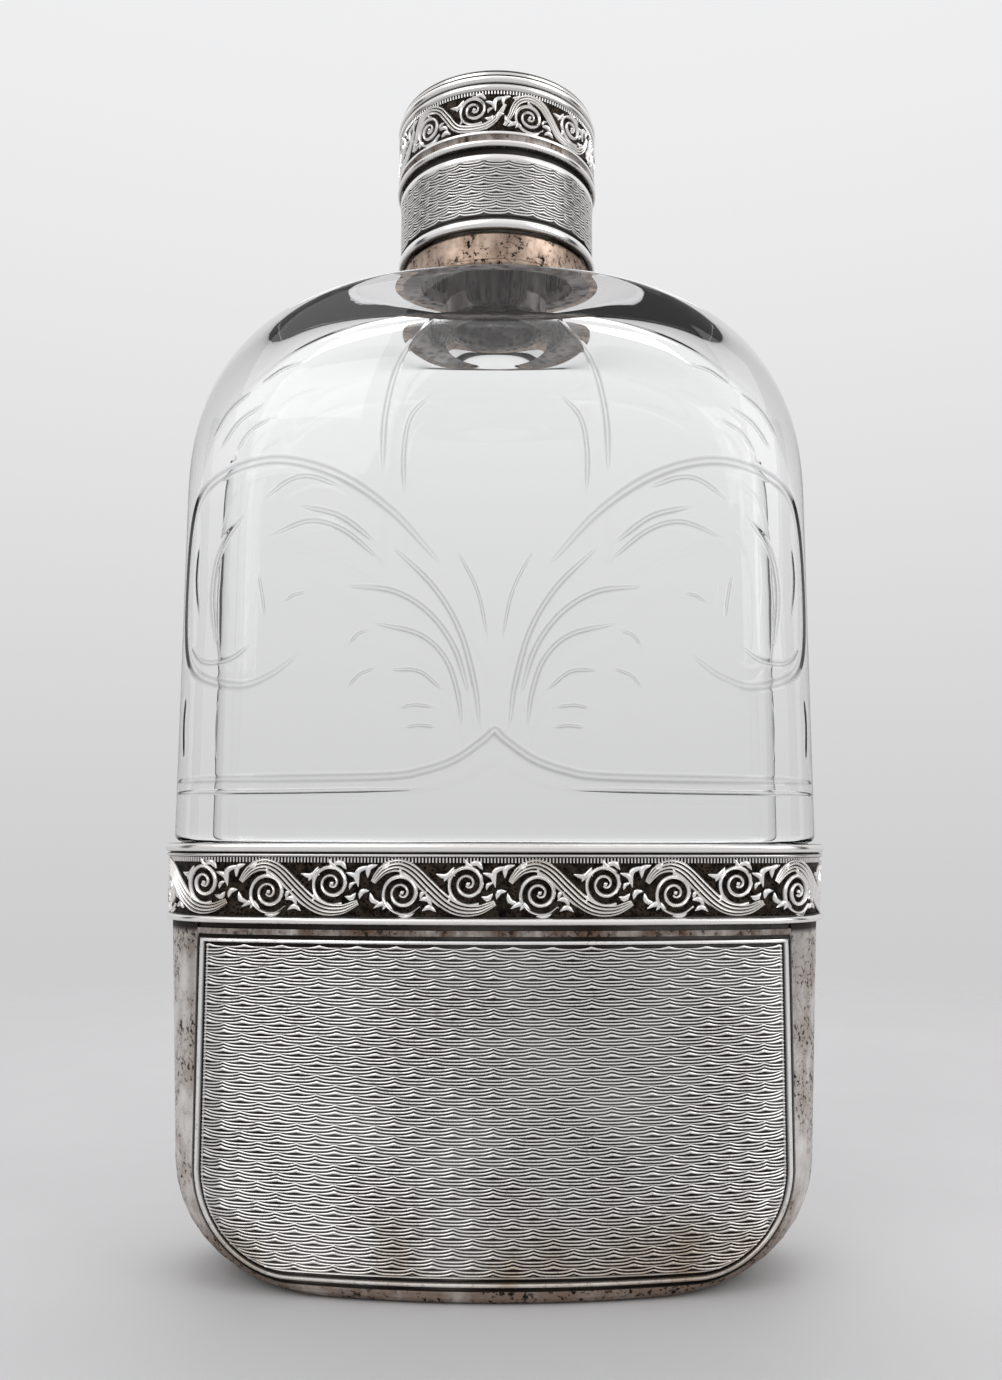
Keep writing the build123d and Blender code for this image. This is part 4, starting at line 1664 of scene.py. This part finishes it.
# ---- The cup ------------------------------------------------------------------------------------
@dataclass
class SlipOnCup:
    """The cup: engine-turned front and back in a moulded frame, plain ends, and a scroll border."""

    panel_half: float = 33.4
    panel_low: float = 1.5
    panel_corner: float = 11.4
    frame_top: float = 38.1
    frame_width: float = 1.3
    row_pitch: float = 0.342
    period: float = 4.25
    swing: float = 0.3
    cut_depth: float = 0.12
    columns_per_period: int = 12
    lower_wire: tuple[float, float] = (39.3, 40.2)
    scroll: tuple[float, float] = (40.2, 46.6)
    rim: tuple[float, float] = (46.6, 48.1)
    strip_height: float = 0.62
    trim: ScrollBorder = ScrollBorder(
        Ribbon.FALLING, scale=1.0, rise=0.42, lift=0.1, repeats=12, hatchings=60, bars=8,
        hatch_height=0.55, hatch_rise=0.16, lean=CUP_SIDE_LEAN,
    )

    def outline_half(self, z: np.ndarray, inset: float) -> np.ndarray:
        """Half width of the panel's outline.

        Args:
            z: Heights.
            inset: Distance inside the outline.

        Returns:
            The half width at each height.
        """
        return self.panel_half - inset - fall(z - self.panel_low - inset, self.panel_corner - inset)

    def outline(self, inset: float) -> np.ndarray:
        """The panel's outline, from its top left corner down and round to the top right.

        Args:
            inset: Distance inside the outline.

        Returns:
            Places across and up.
        """
        half, low, top = self.panel_half - inset, self.panel_low + inset, self.frame_top - inset
        radius = self.panel_corner - inset
        straight = np.linspace(0, 1, 26)[:-1]
        turn = np.linspace(0, math.pi / 2, 25)[:-1]
        corner_x, corner_z = half - radius, low + radius
        left = np.column_stack([np.full(25, -half), top + (corner_z - top) * straight])
        left_turn = np.column_stack([-corner_x - radius * np.cos(turn), corner_z - radius * np.sin(turn)])
        base = np.column_stack([-corner_x + 2 * corner_x * np.linspace(0, 1, 41)[:-1], np.full(40, low)])
        right_turn = np.column_stack([corner_x + radius * np.sin(turn), corner_z - radius * np.cos(turn)])
        right = np.column_stack([np.full(25, half), corner_z + (top - corner_z) * straight])
        across = np.linspace(0, 1, 61)[:-1]
        head = np.column_stack([half - 2 * half * across, np.full(60, top)])
        return np.vstack([left, left_turn, base, right_turn, right, head])

    def field(self, face: Face, turning: EngineTurning, finishes: Finishes) -> bpy.types.Object:
        """The engine-turned field.

        Args:
            face: Which face it is on.
            turning: The pattern's tree.
            finishes: The flask's materials.

        Returns:
            The field as a plain mesh.
        """
        low, high = self.panel_low + self.frame_width, self.frame_top - self.frame_width
        count = int((high - low) / self.row_pitch)
        row, cut = EngineTurning.rows(count)
        z = low + row * ((high - low) / count)
        columns = int(2 * self.panel_half / self.period * self.columns_per_period)
        share = np.linspace(-1, 1, columns + 1)
        x = share[None, :] * self.outline_half(z, self.frame_width - 0.05)[:, None]
        height = np.broadcast_to(z[:, None], x.shape)
        points = face_point(x, height, np.zeros_like(x))
        out = face_point(x, height, np.ones_like(x)) - points
        maker = MeshMaker()
        maker.grid(points, values=EngineTurning.marks(row, cut, x, out))
        sheet = maker.build(f"{face.name.lower()}_field", [], sharp=80, outward=False)
        turning.cut(sheet, finishes.panel, self.period, self.swing, self.cut_depth)
        return self.turn_round(sheet, face)

    def surround(self, face: Face, finishes: Finishes) -> bpy.types.Object:
        """The frame round the field, the plain strip above it and the sheet behind.

        Args:
            face: Which face it is on.
            finishes: The flask's materials.

        Returns:
            The surround as a plain mesh.
        """
        # Inset, lift and darkness; the dark in the frame's grooves and under it is oxide with painted shade.
        profile = [(0.0, -0.02, 0.3), (0.06, -0.3, 1.0), (0.36, -0.3, 1.0), (0.42, 0.0, 0.5), (0.5, 0.14, 0.0),
                   (0.66, 0.2, 0.0), (0.82, 0.14, 0.0), (0.9, 0.0, 0.5), (0.96, -0.28, 1.0), (1.22, -0.28, 1.0),
                   (1.3, -0.02, 0.4), (1.42, -0.12, 0.6), (1.42, -0.5, 1.0), (0.0, -0.5, 1.0)]
        rows, shade = [], []
        for inset, lift, dark in profile:
            flat = self.outline(inset)
            rows.append(face_point(flat[:, 0], flat[:, 1], np.full(len(flat), lift)))
            shade.append(np.full(len(flat), dark))
        maker = MeshMaker()
        maker.grid(np.array(rows), around=True, closed=True, values={"recess": np.array(shade)})
        strip_top = self.frame_top + self.strip_height
        self.slab(maker, self.panel_low, CUP_TOP - 0.05, -0.34, -CUP_WALL, 1)
        self.slab(maker, self.frame_top, strip_top, -0.02, -0.34, 3)
        # Black sheet under the lower wire, finish 2: painted shadow, with some tarnish.
        self.slab(maker, strip_top, self.lower_wire[0] + 0.3, -0.25, -0.34, 2)
        mount = maker.build(
            f"{face.name.lower()}_surround", [finishes.panel, finishes.inside, finishes.line, finishes.hollow],
            sharp=38
        )
        return self.turn_round(mount, face)

    def slab(self, maker: MeshMaker, low: float, high: float, front: float, back: float,
             finish: int) -> None:
        """Adds a closed piece of sheet that fills the panel's outline.

        Args:
            maker: The mesh in hand.
            low: Its lower edge.
            high: Its upper edge.
            front: Lift of its outer face.
            back: Lift of its inner face.
            finish: Number of its material.
        """
        z = low + (high - low) * np.linspace(0, 1, 40) ** 2
        share = np.linspace(-1, 1, 61)
        x = share[None, :] * self.outline_half(np.maximum(z, self.panel_low), 0.0)[:, None]
        height = np.broadcast_to(z[:, None], x.shape)
        outer = face_point(x, height, np.full_like(x, front))
        inner = face_point(x, height, np.full_like(x, back))
        maker.grid(outer, finish)
        maker.grid(inner[:, ::-1], finish)
        for edge_out, edge_in in ((outer[0], inner[0]), (inner[-1], outer[-1]), (outer[:, -1], inner[:, -1]),
                                  (inner[:, 0], outer[:, 0])):
            maker.grid(np.array([edge_in, edge_out]), finish)

    @staticmethod
    def turn_round(piece: bpy.types.Object, face: Face) -> bpy.types.Object:
        """Turns a front piece about the upright axis for the back.

        Args:
            piece: The piece, made for the front.
            face: Where it goes.

        Returns:
            The piece.
        """
        if face is Face.BACK:
            piece.data.transform(Matrix.Rotation(math.pi, 4, "Z"))
        return piece

    def mouldings(self, finishes: Finishes) -> list[bpy.types.Object]:
        """The wires below and above the scrolls.

        Args:
            finishes: The flask's materials.

        Returns:
            The lower wire and the rim.
        """
        pieces = []
        low, high = self.lower_wire
        foot = [(low, -0.02), (low, 0.3), *bead(low + 0.02, high - 0.12, 0.35, 0.77, 10)]
        foot += [(high, 0.3), (high, -0.02)]
        edge, top = self.rim
        rim = [(edge, -0.02), (edge, 0.25)] + bead(edge + 0.02, edge + 0.42, 0.3, 0.6, 6)
        rim += [(edge + 0.46, 0.12), (edge + 0.52, 0.12), *bead(edge + 0.56, top - 0.02, 0.42, 0.77, 10)]
        rim += [(top, 0.3), (top, -0.02)]
        for name, profile, node in (
            ("cup_lower_moulding", foot, "cup_lower_wire"), ("cup_rim_moulding", rim, "cup_rim_wire")
        ):
            maker = MeshMaker()
            sheet = round_cup(profile)
            shade = shade_hollows([lift for _, lift in profile], sheet.shape[1])
            maker.grid(sheet, around=True, closed=True, values=shade)
            piece = maker.build(name, [finishes.moulding], sharp=55)
            pieces.append(place(piece, Body.CUP, Slot.SILVER, node))
        return pieces

    def border(self, wrap: BorderWrap, finishes: Finishes) -> bpy.types.Object:
        """The scroll band: a dark ground with the leaf scrolls and a hatched upper edge on it.

        Args:
            wrap: The tree that carries a motif round a path.
            finishes: The flask's materials.

        Returns:
            The finished band.
        """
        low, high = self.scroll
        ground = round_cup([(low, -0.02), (low, 0.1), (high, 0.1), (high, -0.02)])
        width, depth = cup_section(np.array(low))
        path = lens_point(width, depth, round_turns(120, 60))[:, :2]
        length = float(np.linalg.norm(np.diff(np.vstack([path, path[:1]]), axis=0), axis=1).sum())
        band = self.trim.build("cup_scroll_border", ground, path, length, self.scroll, wrap, finishes)
        return place(band, Body.CUP, Slot.SCROLL, "cup_scroll_band")

    def build(self, turning: EngineTurning, wrap: BorderWrap, finishes: Finishes) -> list[bpy.types.Object]:
        """Makes the whole cup.

        Args:
            turning: The engine-turned pattern's tree.
            wrap: The border's tree.
            finishes: The flask's materials.

        Returns:
            The new pieces.
        """
        pieces = []
        for face, node in ((Face.FRONT, "cup_front_panel"), (Face.BACK, "cup_back_panel")):
            parts = [self.field(face, turning, finishes), self.surround(face, finishes)]
            panel = join(f"{face.name.lower()}_engine_turned_panel", parts)
            pieces.append(place(panel, Body.CUP, Slot.ENGINE_TURNED, node))
        pieces += self.mouldings(finishes)
        pieces.append(self.border(wrap, finishes))
        dress("cup_edge_strip", finishes.strip)
        return pieces


# ---- The screw cap ------------------------------------------------------------------------------
@dataclass
class ScrewCap:
    """The cap: an engine-turned skirt, mouldings, a scroll band and a low rounded crown."""

    inner: float = 11.8
    skirt: float = 12.4
    bottom: float = 120.8
    bead_top: float = 122.0
    field: tuple[float, float] = (122.4, 129.4)
    row_pitch: float = 0.35
    period_count: int = 26
    columns_per_period: int = 14
    lower_wire: tuple[float, float] = (131.1, 133.0)
    scroll: tuple[float, float] = (133.0, 138.3)
    upper_wire: tuple[float, float] = (138.3, 140.2)
    crown_edge: float = 140.2
    top: float = 142.5
    swing: float = 0.27
    cut_depth: float = 0.12
    trim: ScrollBorder = ScrollBorder(
        Ribbon.WAVING, scale=0.83, rise=0.36, lift=0.06, repeats=6, hatchings=30, bars=7,
        hatch_height=0.45, hatch_rise=0.14,
    )

    def tube(self, turning: EngineTurning, finishes: Finishes) -> bpy.types.Object:
        """The skirt with its rows of scallops, and the tube it is part of.

        Args:
            turning: The engine-turned pattern's tree.
            finishes: The flask's materials.

        Returns:
            The finished piece.
        """
        low, high = self.field
        count = int((high - low) / self.row_pitch)
        row, cut = EngineTurning.rows(count)
        steps = self.period_count * self.columns_per_period
        points = turned([(self.skirt, h) for h in low + row * (high - low) / count], steps)
        along = np.broadcast_to(np.arange(steps) / self.columns_per_period, points.shape[:2])
        out = points * (1 / self.skirt, 1 / self.skirt, 0)
        maker = MeshMaker()
        maker.grid(points, around=True, values=EngineTurning.marks(row, cut, along, out))
        sheet = maker.build("skirt_field", [], sharp=80, outward=False)
        turning.cut(sheet, finishes.panel, 1.0, self.swing, self.cut_depth)
        rest = MeshMaker()
        start, end, roof = self.bead_top, high, self.upper_wire[1]
        strip = [(self.skirt, end), (self.skirt + 0.06, end + 0.06), (self.skirt + 0.1, end + 0.2),
                 (self.skirt + 0.1, end + 0.7), (self.skirt, end + 0.85)]
        # Finish 1 is black, in the gaps over the bead, behind the field and under the lower wire: painted
        # shadow, with some tarnish.
        rest.grid(turned([(self.inner, start), (self.skirt - 0.25, start), (self.skirt - 0.25, start + 0.3),
                          (self.skirt, low)]), 1, around=True)
        rest.grid(turned([(self.skirt, low), (self.skirt - 0.14, low + 0.01), (self.skirt - 0.14, end - 0.01),
                          (self.skirt, end)]), 1, around=True)
        rest.grid(turned(strip), 0, around=True)
        rest.grid(turned([strip[-1], (self.skirt - 0.4, end + 0.95), (self.skirt - 0.4, self.lower_wire[0]),
                          (self.skirt - 0.1, self.lower_wire[0] + 0.05)]), 1, around=True)
        rest.grid(turned([(self.skirt - 0.1, self.lower_wire[0] + 0.05), (self.skirt - 0.1, roof),
                          (self.inner, roof), (self.inner, start)]), 2, around=True)
        body = rest.build("skirt_tube", [finishes.silver, finishes.line, finishes.inside], sharp=45)
        whole = join("cap_skirt", [sheet, body])
        return place(whole, Body.CAP, Slot.ENGINE_TURNED, "cap_tube")

    def mouldings(self, finishes: Finishes) -> list[bpy.types.Object]:
        """The rim bead, the wire and hollow under the scrolls, and the reeds over them.

        Args:
            finishes: The flask's materials.

        Returns:
            The finished pieces.
        """
        skirt, low, high = self.skirt, *self.lower_wire
        pieces = []
        rim = [(self.inner, self.bottom + 0.05), (self.inner + 0.15, self.bottom)]
        rim += over(bead(self.bottom, self.bead_top - 0.1, skirt, skirt + 0.3, 10))
        rim += [(skirt - 0.1, self.bead_top - 0.02), (self.inner, self.bead_top)]
        wire = [(skirt - 0.1, low)] + over(bead(low, low + 0.8, skirt + 0.12, skirt + 0.5, 10))
        wire += [(skirt + 0.06, low + 0.84)]
        hollow = [(skirt + 0.06, low + 0.84), (skirt + 0.07, low + 1.0), (skirt + 0.12, low + 1.25),
                  (skirt + 0.24, low + 1.5)]
        fillet = [(skirt + 0.24, low + 1.5), (skirt + 0.36, low + 1.52), (skirt + 0.4, low + 1.66),
                  (skirt + 0.34, high - 0.05), (skirt - 0.1, high)]
        up_low, up_high = self.upper_wire
        middle = (up_low + up_high) / 2
        reeds = [(skirt - 0.1, up_low)] + over(bead(up_low, middle - 0.06, skirt + 0.12, skirt + 0.42, 10))
        reeds += [(skirt + 0.05, middle - 0.02), (skirt + 0.05, middle + 0.04)]
        reeds += over(bead(middle + 0.08, up_high, skirt + 0.12, skirt + 0.5, 10)) + [(skirt - 0.1, up_high)]
        for name, parts, node in (
            ("cap_rim_moulding", [(rim, 0)], "cap_rim_bead"),
            ("cap_lower_moulding", [(wire, 0), (hollow, 1), (fillet, 0)], "cap_lower_wire"),
            ("cap_upper_moulding", [(reeds, 0)], "cap_upper_wire"),
        ):
            maker = MeshMaker()
            for profile, finish in parts:
                sheet = turned(profile)
                shade = shade_hollows([radius for radius, _ in profile], sheet.shape[1])
                maker.grid(sheet, finish, around=True, values=shade)
            first, last = parts[0][0][0], parts[-1][0][-1]
            maker.grid(turned([last, first]), 0, around=True)
            piece = maker.build(name, [finishes.moulding, finishes.hollow], sharp=50)
            pieces.append(place(piece, Body.CAP, Slot.SILVER, node))
        return pieces

    def border(self, wrap: BorderWrap, finishes: Finishes) -> bpy.types.Object:
        """The cap's scroll band.

        Args:
            wrap: The border's tree.
            finishes: The flask's materials.

        Returns:
            The finished band.
        """
        low, high = self.scroll
        inner, outer = self.skirt - 0.1, self.skirt + self.trim.lift
        ground = turned([(inner, low), (outer, low), (outer, high), (inner, high)])
        angle = np.arange(240) * 2 * math.pi / 240 - math.pi / 2
        path = self.skirt * np.column_stack([np.cos(angle), np.sin(angle)])
        length = 2 * math.pi * self.skirt
        band = self.trim.build("cap_scroll_border", ground, path, length, self.scroll, wrap, finishes)
        return place(band, Body.CAP, Slot.SCROLL, "cap_scroll_band")

    def crown(self, finishes: Finishes) -> bpy.types.Object:
        """The low rounded top.

        Args:
            finishes: The flask's materials.

        Returns:
            The finished piece.
        """
        edge = self.skirt + 0.2
        foot = self.crown_edge
        outer = [(self.inner, foot), (edge - 0.2, foot), (edge - 0.2, foot + 0.14), (edge, foot + 0.2),
                 (edge, foot + 0.52), (edge - 0.26, foot + 0.58), (edge - 0.26, foot + 0.74),
                 (edge - 0.1, foot + 0.82)]
        # Dark in the grooves between the crown's steps: painted shade, with oxide.
        shade = [0.0, 1.0, 1.0, 0.2, 0.2, 1.0, 1.0, 0.1]
        share = np.linspace(0, 1, 26)[1:]
        rise = self.top - self.crown_edge - 0.82
        outer += [((edge - 0.1) * (1 - s), self.top - rise * (1 - s) ** 2.6) for s in share[:-1]]
        shade += [0.0] * (len(outer) - len(shade))
        under = self.top - 0.9
        inside = [(self.inner * s, under - (under - foot) * s**2.2) for s in np.linspace(0.02, 1, 14)]
        maker = MeshMaker()
        skin, lining = turned(outer), turned(inside)
        soot = np.repeat(np.array(shade)[:, None], skin.shape[1], axis=1)
        maker.grid(skin, around=True, values={"recess": soot})
        maker.cap(skin[-1], (0, 0, self.top))
        maker.grid(lining, around=True)
        maker.cap(lining[0], (0, 0, under))
        crown = maker.build("cap_domed_crown", [finishes.moulding], sharp=35)
        return place(crown, Body.CAP, Slot.SILVER, "cap_crown")

    def build(self, turning: EngineTurning, wrap: BorderWrap, finishes: Finishes) -> list[bpy.types.Object]:
        """Makes the whole cap and dresses the seal inside it.

        Args:
            turning: The engine-turned pattern's tree.
            wrap: The border's tree.
            finishes: The flask's materials.

        Returns:
            The new pieces.
        """
        pieces = [self.tube(turning, finishes), *self.mouldings(finishes)]
        pieces += [self.border(wrap, finishes), self.crown(finishes)]
        dress("cap_thread_liner", finishes.inside)
        dress("cork_disc", finishes.cork)
        dress("cork_backing_plate", finishes.inside)
        return pieces


# ---- The studio ---------------------------------------------------------------------------------
@dataclass
class Studio:
    """A plain pale floor, soft lights and the camera."""

    eye: tuple[float, float, float] = (0.0007, -0.141, 0.0486)
    pitch: float = 7.4
    roll: float = 0.13

    def floor(self) -> bpy.types.Object:
        """A round floor that fades into the room at its edge."""
        maker = MeshMaker()
        angle = np.arange(96) * 2 * math.pi / 96
        rings = [np.column_stack([r * np.cos(angle), r * np.sin(angle), 0 * angle])
                 for r in (40, 120, 300, 600)]
        maker.grid(np.array(rings), around=True)
        maker.cap(rings[0], (0, 0, 0))
        material, tree, shader, place_ = new_material("pale_floor")
        cloud = tree.noise(place_, 30.0, 3.0)
        colour = tree.blend(tree.ramp(cloud, 0.3, 0.7), (0.535, 0.532, 0.538), (0.55, 0.547, 0.553))
        distance = tree.add("ShaderNodeVectorMath", {0: place_}, operation="LENGTH").outputs["Value"]
        tree.tree.links.new(colour, shader.inputs["Base Color"])
        tree.tree.links.new(tree.ramp(distance, 0.06, 0.4, 1.0, 0.0), shader.inputs["Alpha"])
        shader.inputs["Roughness"].default_value = 0.6
        sheet = maker.build("floor", [material], outward=False)
        return sheet

    def room(self) -> None:
        """The pale room round the flask, brighter overhead."""
        world = bpy.data.worlds.new("room")
        bpy.context.scene.world = world
        world.use_nodes = True
        world.node_tree.nodes.clear()
        tree = Tree(world.node_tree)
        way = tree.add("ShaderNodeTexCoord").outputs["Generated"]
        spot = tree.add("ShaderNodeSeparateXYZ", {0: way}).outputs
        height = tree.ramp(spot[2], -0.25, 0.75)
        colour = tree.blend(height, (0.60, 0.597, 0.605), (0.88, 0.88, 0.89))
        light = tree.add("ShaderNodeBackground", {"Color": colour, "Strength": 1.0})
        tree.add("ShaderNodeOutputWorld", {"Surface": light.outputs[0]})

    def light(self, name: str, spot: tuple[float, float, float], size: float, power: float) -> None:
        """A soft square light that looks at the flask.

        Args:
            name: Its name.
            spot: Where it is, in metres.
            size: Its width, in metres.
            power: Its power in watts.
        """
        lamp = bpy.data.lights.new(name, "AREA")
        lamp.shape, lamp.size, lamp.energy = "SQUARE", size, power
        thing = bpy.data.objects.new(name, lamp)
        bpy.context.scene.collection.objects.link(thing)
        thing.location = spot
        thing.rotation_euler = (Vector((0, 0, 0.07)) - Vector(spot)).to_track_quat("-Z", "Y").to_euler()

    def flag(self, name: str, corners: Sequence[tuple[float, float, float]]) -> None:
        """A dark card beside the flask, which gives the glass its dark edges and isn't seen itself.

        Args:
            name: Its name.
            corners: Its four corners, in millimetres.
        """
        maker = MeshMaker()
        maker.add(np.array(corners, float), [(0, 1, 2, 3)])
        material, tree, shader, place_ = new_material(name)
        colour = tree.blend(tree.noise(place_, 8.0), (0.012, 0.012, 0.012), (0.03, 0.03, 0.03))
        tree.feed(shader, {"Base Color": colour})
        card = maker.build(name, [material], outward=False)
        card.visible_camera = False
        card.visible_shadow = False
        card.visible_diffuse = False

    def camera(self) -> bpy.types.Object:
        """The camera: close in, at half the flask's height, and tipped up a little."""
        data = bpy.data.cameras.new("camera")
        data.lens, data.sensor_width = 30.0, 36.0
        data.clip_start = 0.005
        eye = bpy.data.objects.new("camera", data)
        bpy.context.scene.collection.objects.link(eye)
        tip = Euler((math.radians(90 + self.pitch), 0, 0)).to_matrix()
        eye.rotation_euler = (tip @ Matrix.Rotation(math.radians(self.roll), 3, "Z")).to_euler()
        eye.location = self.eye
        bpy.context.scene.camera = eye
        return eye

    def build(self) -> None:
        """Sets up the floor, the room, the lights, the dark cards and the camera."""
        bpy.context.scene.view_settings.view_transform = "Standard"
        self.floor()
        self.room()
        self.light("key", (-0.35, -0.45, 0.55), 0.45, 0.95)
        self.light("fill", (0.5, -0.3, 0.35), 0.4, 0.8)
        self.light("top", (0.0, 0.15, 0.6), 0.5, 1.0)
        for name, x in (("left_flag", -300), ("right_flag", 300)):
            self.flag(name, [(x, -40, 0), (x, 40, 0), (x, 40, 240), (x, -40, 240)])
        self.camera()


def main() -> None:
    """Builds the flask's sub-assemblies in order, then the studio."""
    logging.basicConfig(level=logging.INFO, format="%(message)s")
    finishes = Finishes()
    turning, wrap = EngineTurning(), BorderWrap()
    GlassBottle().build(finishes)
    NeckMounts().build(finishes)
    SlipOnCup().build(turning, wrap, finishes)
    ScrewCap().build(turning, wrap, finishes)
    Studio().build()


if __name__ == "__main__":
    main()
